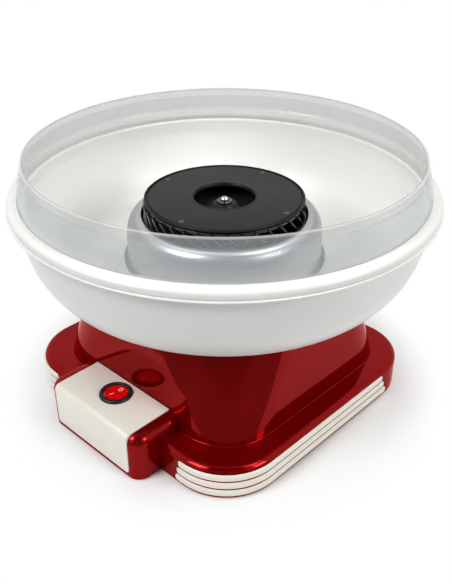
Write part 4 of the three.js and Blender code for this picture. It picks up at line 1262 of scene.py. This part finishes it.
# %% [markdown]
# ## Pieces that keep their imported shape
#
# Feet, the plate below, the motor and its small parts have the right shape already, and making them again
# would add nothing that can be seen. They only get their finish, set on each part's own material slot.

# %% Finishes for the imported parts
KEPT = {
    black_satin: ["base_plate"],
    dark_rubber: ["foot_", "cord_grommet"],
    bright_steel: [
        "base_screw_",
        "plate_screw_",
        "motor_screw_",
        "collar_screw_",
        "motor_shaft",
        "drive_pin",
    ],
    dull_steel: ["motor_can", "motor_plate"],
    yellow_brass: ["switch_blade_", "motor_bush", "head_bush"],
    spun_aluminium: ["heater_plate"],
    pale_ceramic: ["heater_post_", "ring_insulator_"],
}
finished = []
for material, starts in KEPT.items():
    for name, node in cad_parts.items():
        if any(name.startswith(start) for start in starts):
            node.data.materials.clear()
            node.data.materials.append(material)
            finished.append(name)
print("packed parts with a finish:", len(finished))

# %% [markdown]
# ## Table, light and camera
#
# The machine stands on a white table in soft studio light, and throws a soft shadow round its base. Past that
# shadow the table turns into the plain white of the background, but only for rays that look at it: straight,
# in something polished or through clear plastic. Stronger lamps would whiten the table as well, but they
# would bleach the red, so the light that falls on the machine stays as it is.

# %% A procedural matt finish for the stage
def matt(name, low, high):
    material = shader_of(name, low, 0.9, Specular_IOR_Level=0.0)
    tint(material, low, high, 3)
    return material


def staged(name, points, faces, material):
    mesh = bpy.data.meshes.new(name)
    mesh.from_pydata(points, [], faces)
    mesh.materials.append(material)
    made = bpy.data.objects.new(name, mesh)
    bpy.context.scene.collection.objects.link(made)
    return made


SPAN = 3.0
corners = [(-SPAN, -SPAN, 0), (SPAN, -SPAN, 0), (SPAN, SPAN, 0), (-SPAN, SPAN, 0)]
white_table = matt("white_table", (0.84, 0.85, 0.855), (0.86, 0.87, 0.875))
staged("table_top", corners, [(0, 1, 2, 3)], white_table)


def rays_that_look(tree):
    """1 for rays that look at the background, straight, in a mirror or through clear plastic."""
    light_path = add_node(tree, "ShaderNodeLightPath")
    seen = light_path.outputs["Is Camera Ray"]
    for kind in ("Is Glossy Ray", "Is Transmission Ray"):
        seen = math_node(tree, "MAXIMUM", seen, light_path.outputs[kind])
    return seen


# Away from the machine, past its shadow, the table fades into the white of the background
FADE = (0.115, 0.175)
tree = white_table.node_tree
place = add_node(tree, "ShaderNodeTexCoord")
away = add_node(tree, "ShaderNodeVectorMath", {0: place.outputs["Object"]}, operation="LENGTH")
span = {"Value": away.outputs["Value"], "From Min": FADE[0], "From Max": FADE[1]}
fade = add_node(tree, "ShaderNodeMapRange", span, interpolation_type="SMOOTHSTEP")
share = math_node(tree, "MULTIPLY", rays_that_look(tree), fade.outputs["Result"])
plain_white = add_node(tree, "ShaderNodeEmission").outputs["Emission"]
own_colour = tree.nodes["Principled BSDF"].outputs["BSDF"]
blend = add_node(tree, "ShaderNodeMixShader", {0: share, 1: own_colour, 2: plain_white})
tree.links.new(blend.outputs["Shader"], tree.nodes["Material Output"].inputs["Surface"])
print("table fades from", FADE[0], "to", FADE[1], "m")

# %% [markdown]
# Polished things mirror the whole room. In the photograph the corner of the pedestal that faces the camera is
# dark, so on that side the room was dark. A grey cloth lies and hangs there, and a dark panel hangs above the
# camera, which the head and the collar mirror. Only reflections see the two: they are hidden from the camera,
# throw no shadow and give the machine no light.

# %% Dark cloth on the camera's side, and a dark ceiling above the camera
def way(azimuth, elevation):
    """A direction: azimuth is counted from the front to the right, in degrees, elevation from level."""
    a, e = math.radians(azimuth), math.radians(elevation)
    return Vector((math.sin(a) * math.cos(e), -math.cos(a) * math.cos(e), math.sin(e)))


CLOTH_CORNER, CLOTH_EDGE = Vector((0.061, -0.19, 0)), Vector((0.657, 0.754, 0))
lift = Vector((0, 0, 0.001))
near_left = Vector((-1.2, -0.19, 0))
far_left, far_right = Vector((-1.2, -1.5, 0)), Vector((1.7, -1.5, 0))
edge_end = CLOTH_CORNER + CLOTH_EDGE * 1.2
side_end = Vector((1.7, edge_end.y, 0))
lying = [CLOTH_CORNER, near_left, far_left, far_right, side_end, edge_end]
hang_left, hang_right = Vector((0.257, -1.278, 0)), Vector((1.267, -0.308, 0))
height = Vector((0, 0, 1.0))
hanging = [hang_left, hang_right, hang_right + height, hang_left + height]
cloth = staged(
    "dark_cloth",
    [p + lift for p in lying + hanging],
    [tuple(range(6)), (6, 7, 8, 9)],
    matt("dark_cloth", (0.3, 0.31, 0.32), (0.34, 0.35, 0.36)),
)
CEILING_AWAY, CEILING_WIDE, CEILING_HIGH = 1.8, 0.8, 0.6
ceiling_way, ceiling_side = way(44, 60), way(134, 0)
ceiling_up = ceiling_side.cross(ceiling_way)
ceiling_middle = Vector((0, 0, 0.12)) + ceiling_way * CEILING_AWAY
ceiling_corners = [
    ceiling_middle + ceiling_side * side * CEILING_WIDE + ceiling_up * up * CEILING_HIGH
    for side, up in ((-1, -1), (1, -1), (1, 1), (-1, 1))
]
dark_matt = matt("dark_ceiling", (0.02, 0.03, 0.045), (0.03, 0.04, 0.055))
ceiling = staged("dark_ceiling", ceiling_corners, [(0, 1, 2, 3)], dark_matt)
for dark in (cloth, ceiling):
    dark.visible_camera = False
    dark.visible_diffuse = False
    dark.visible_shadow = False
    dark.visible_transmission = False
print("seen only in reflections:", cloth.name, ceiling.name)

# %% [markdown]
# The world is white where it is seen and a weak light otherwise. A bright world would light the machine from
# every side and take its shadow away, so it gives only a little and lamps do the rest.

# %% World
WEAK, WHITE = 0.08, 1.0
world = bpy.data.worlds.new("studio")
bpy.context.scene.world = world
world.use_nodes = True
tree = world.node_tree
sky = tree.nodes["Background"]
sky.inputs["Color"].default_value = (1, 1, 1, 1)
span = {"Value": rays_that_look(tree), "To Min": WEAK, "To Max": WHITE}
strength = add_node(tree, "ShaderNodeMapRange", span)
tree.links.new(strength.outputs["Result"], sky.inputs["Strength"])
print("the world gives", WEAK, "as light and", WHITE, "where it is seen")


# %% [markdown]
# Four soft lamps light the machine: a large one in front and one on the right, and two small, slightly warm
# ones near the ceiling. They are area lamps, because the size of a lamp sets how soft a shadow's edge is, and
# a polished face shows it as a broad highlight.

# %% Lamps, placed by direction
def lamp(name, direction, away, size, power, colour=(1, 1, 1)):
    """A soft lamp in a direction from the bowl, looking at it."""
    data = bpy.data.lights.new(name, "AREA")
    data.shape = "RECTANGLE"
    data.size, data.size_y = size
    data.energy = power
    data.color = colour
    made = bpy.data.objects.new(name, data)
    made.location = Vector((0, 0, 0.1)) + direction * away
    made.rotation_euler = (-direction).to_track_quat("-Z", "Y").to_euler()
    bpy.context.scene.collection.objects.link(made)
    return made


WARM = (1, 0.97, 0.92)
lamps = [
    lamp("front_box", way(-12, 43), 1.5, (0.6, 0.8), 15),
    lamp("right_box", way(102, 28), 1.5, (0.5, 0.6), 9),
    lamp("left_ceiling", way(-64, 70), 1.4, (0.5, 0.4), 2, WARM),
    lamp("right_ceiling", way(128, 66), 1.4, (0.5, 0.4), 6.5, WARM),
]
print("lamps:", {made.name: made.data.energy for made in lamps})

# %% [markdown]
# The camera looks from the front right and from above, as in the photograph. Its place was found by fitting
# the round rims and the straight edges of the base.

# %% Camera at the photograph's angle
AIM, AWAY = Vector((0, 0, 0.0724)), 0.5808
back = way(43.85, 31.26)
camera_data = bpy.data.cameras.new("camera")
camera = bpy.data.objects.new("camera", camera_data)
bpy.context.scene.collection.objects.link(camera)
camera.location = AIM + back * AWAY
camera.rotation_euler = (-back).to_track_quat("-Z", "Y").to_euler()
camera_data.lens = 47.0
camera_data.shift_x = 0.0024
camera_data.clip_start = 0.01
bpy.context.scene.camera = camera
bpy.context.scene.view_settings.view_transform = "Standard"
print("camera at", [round(v, 3) for v in camera.location])

# %% [markdown]
# ## The end
#
# The scene is brought up to date. The dressed machine must stay in the box of the imported parts.

# %% The end
bpy.context.view_layer.update()
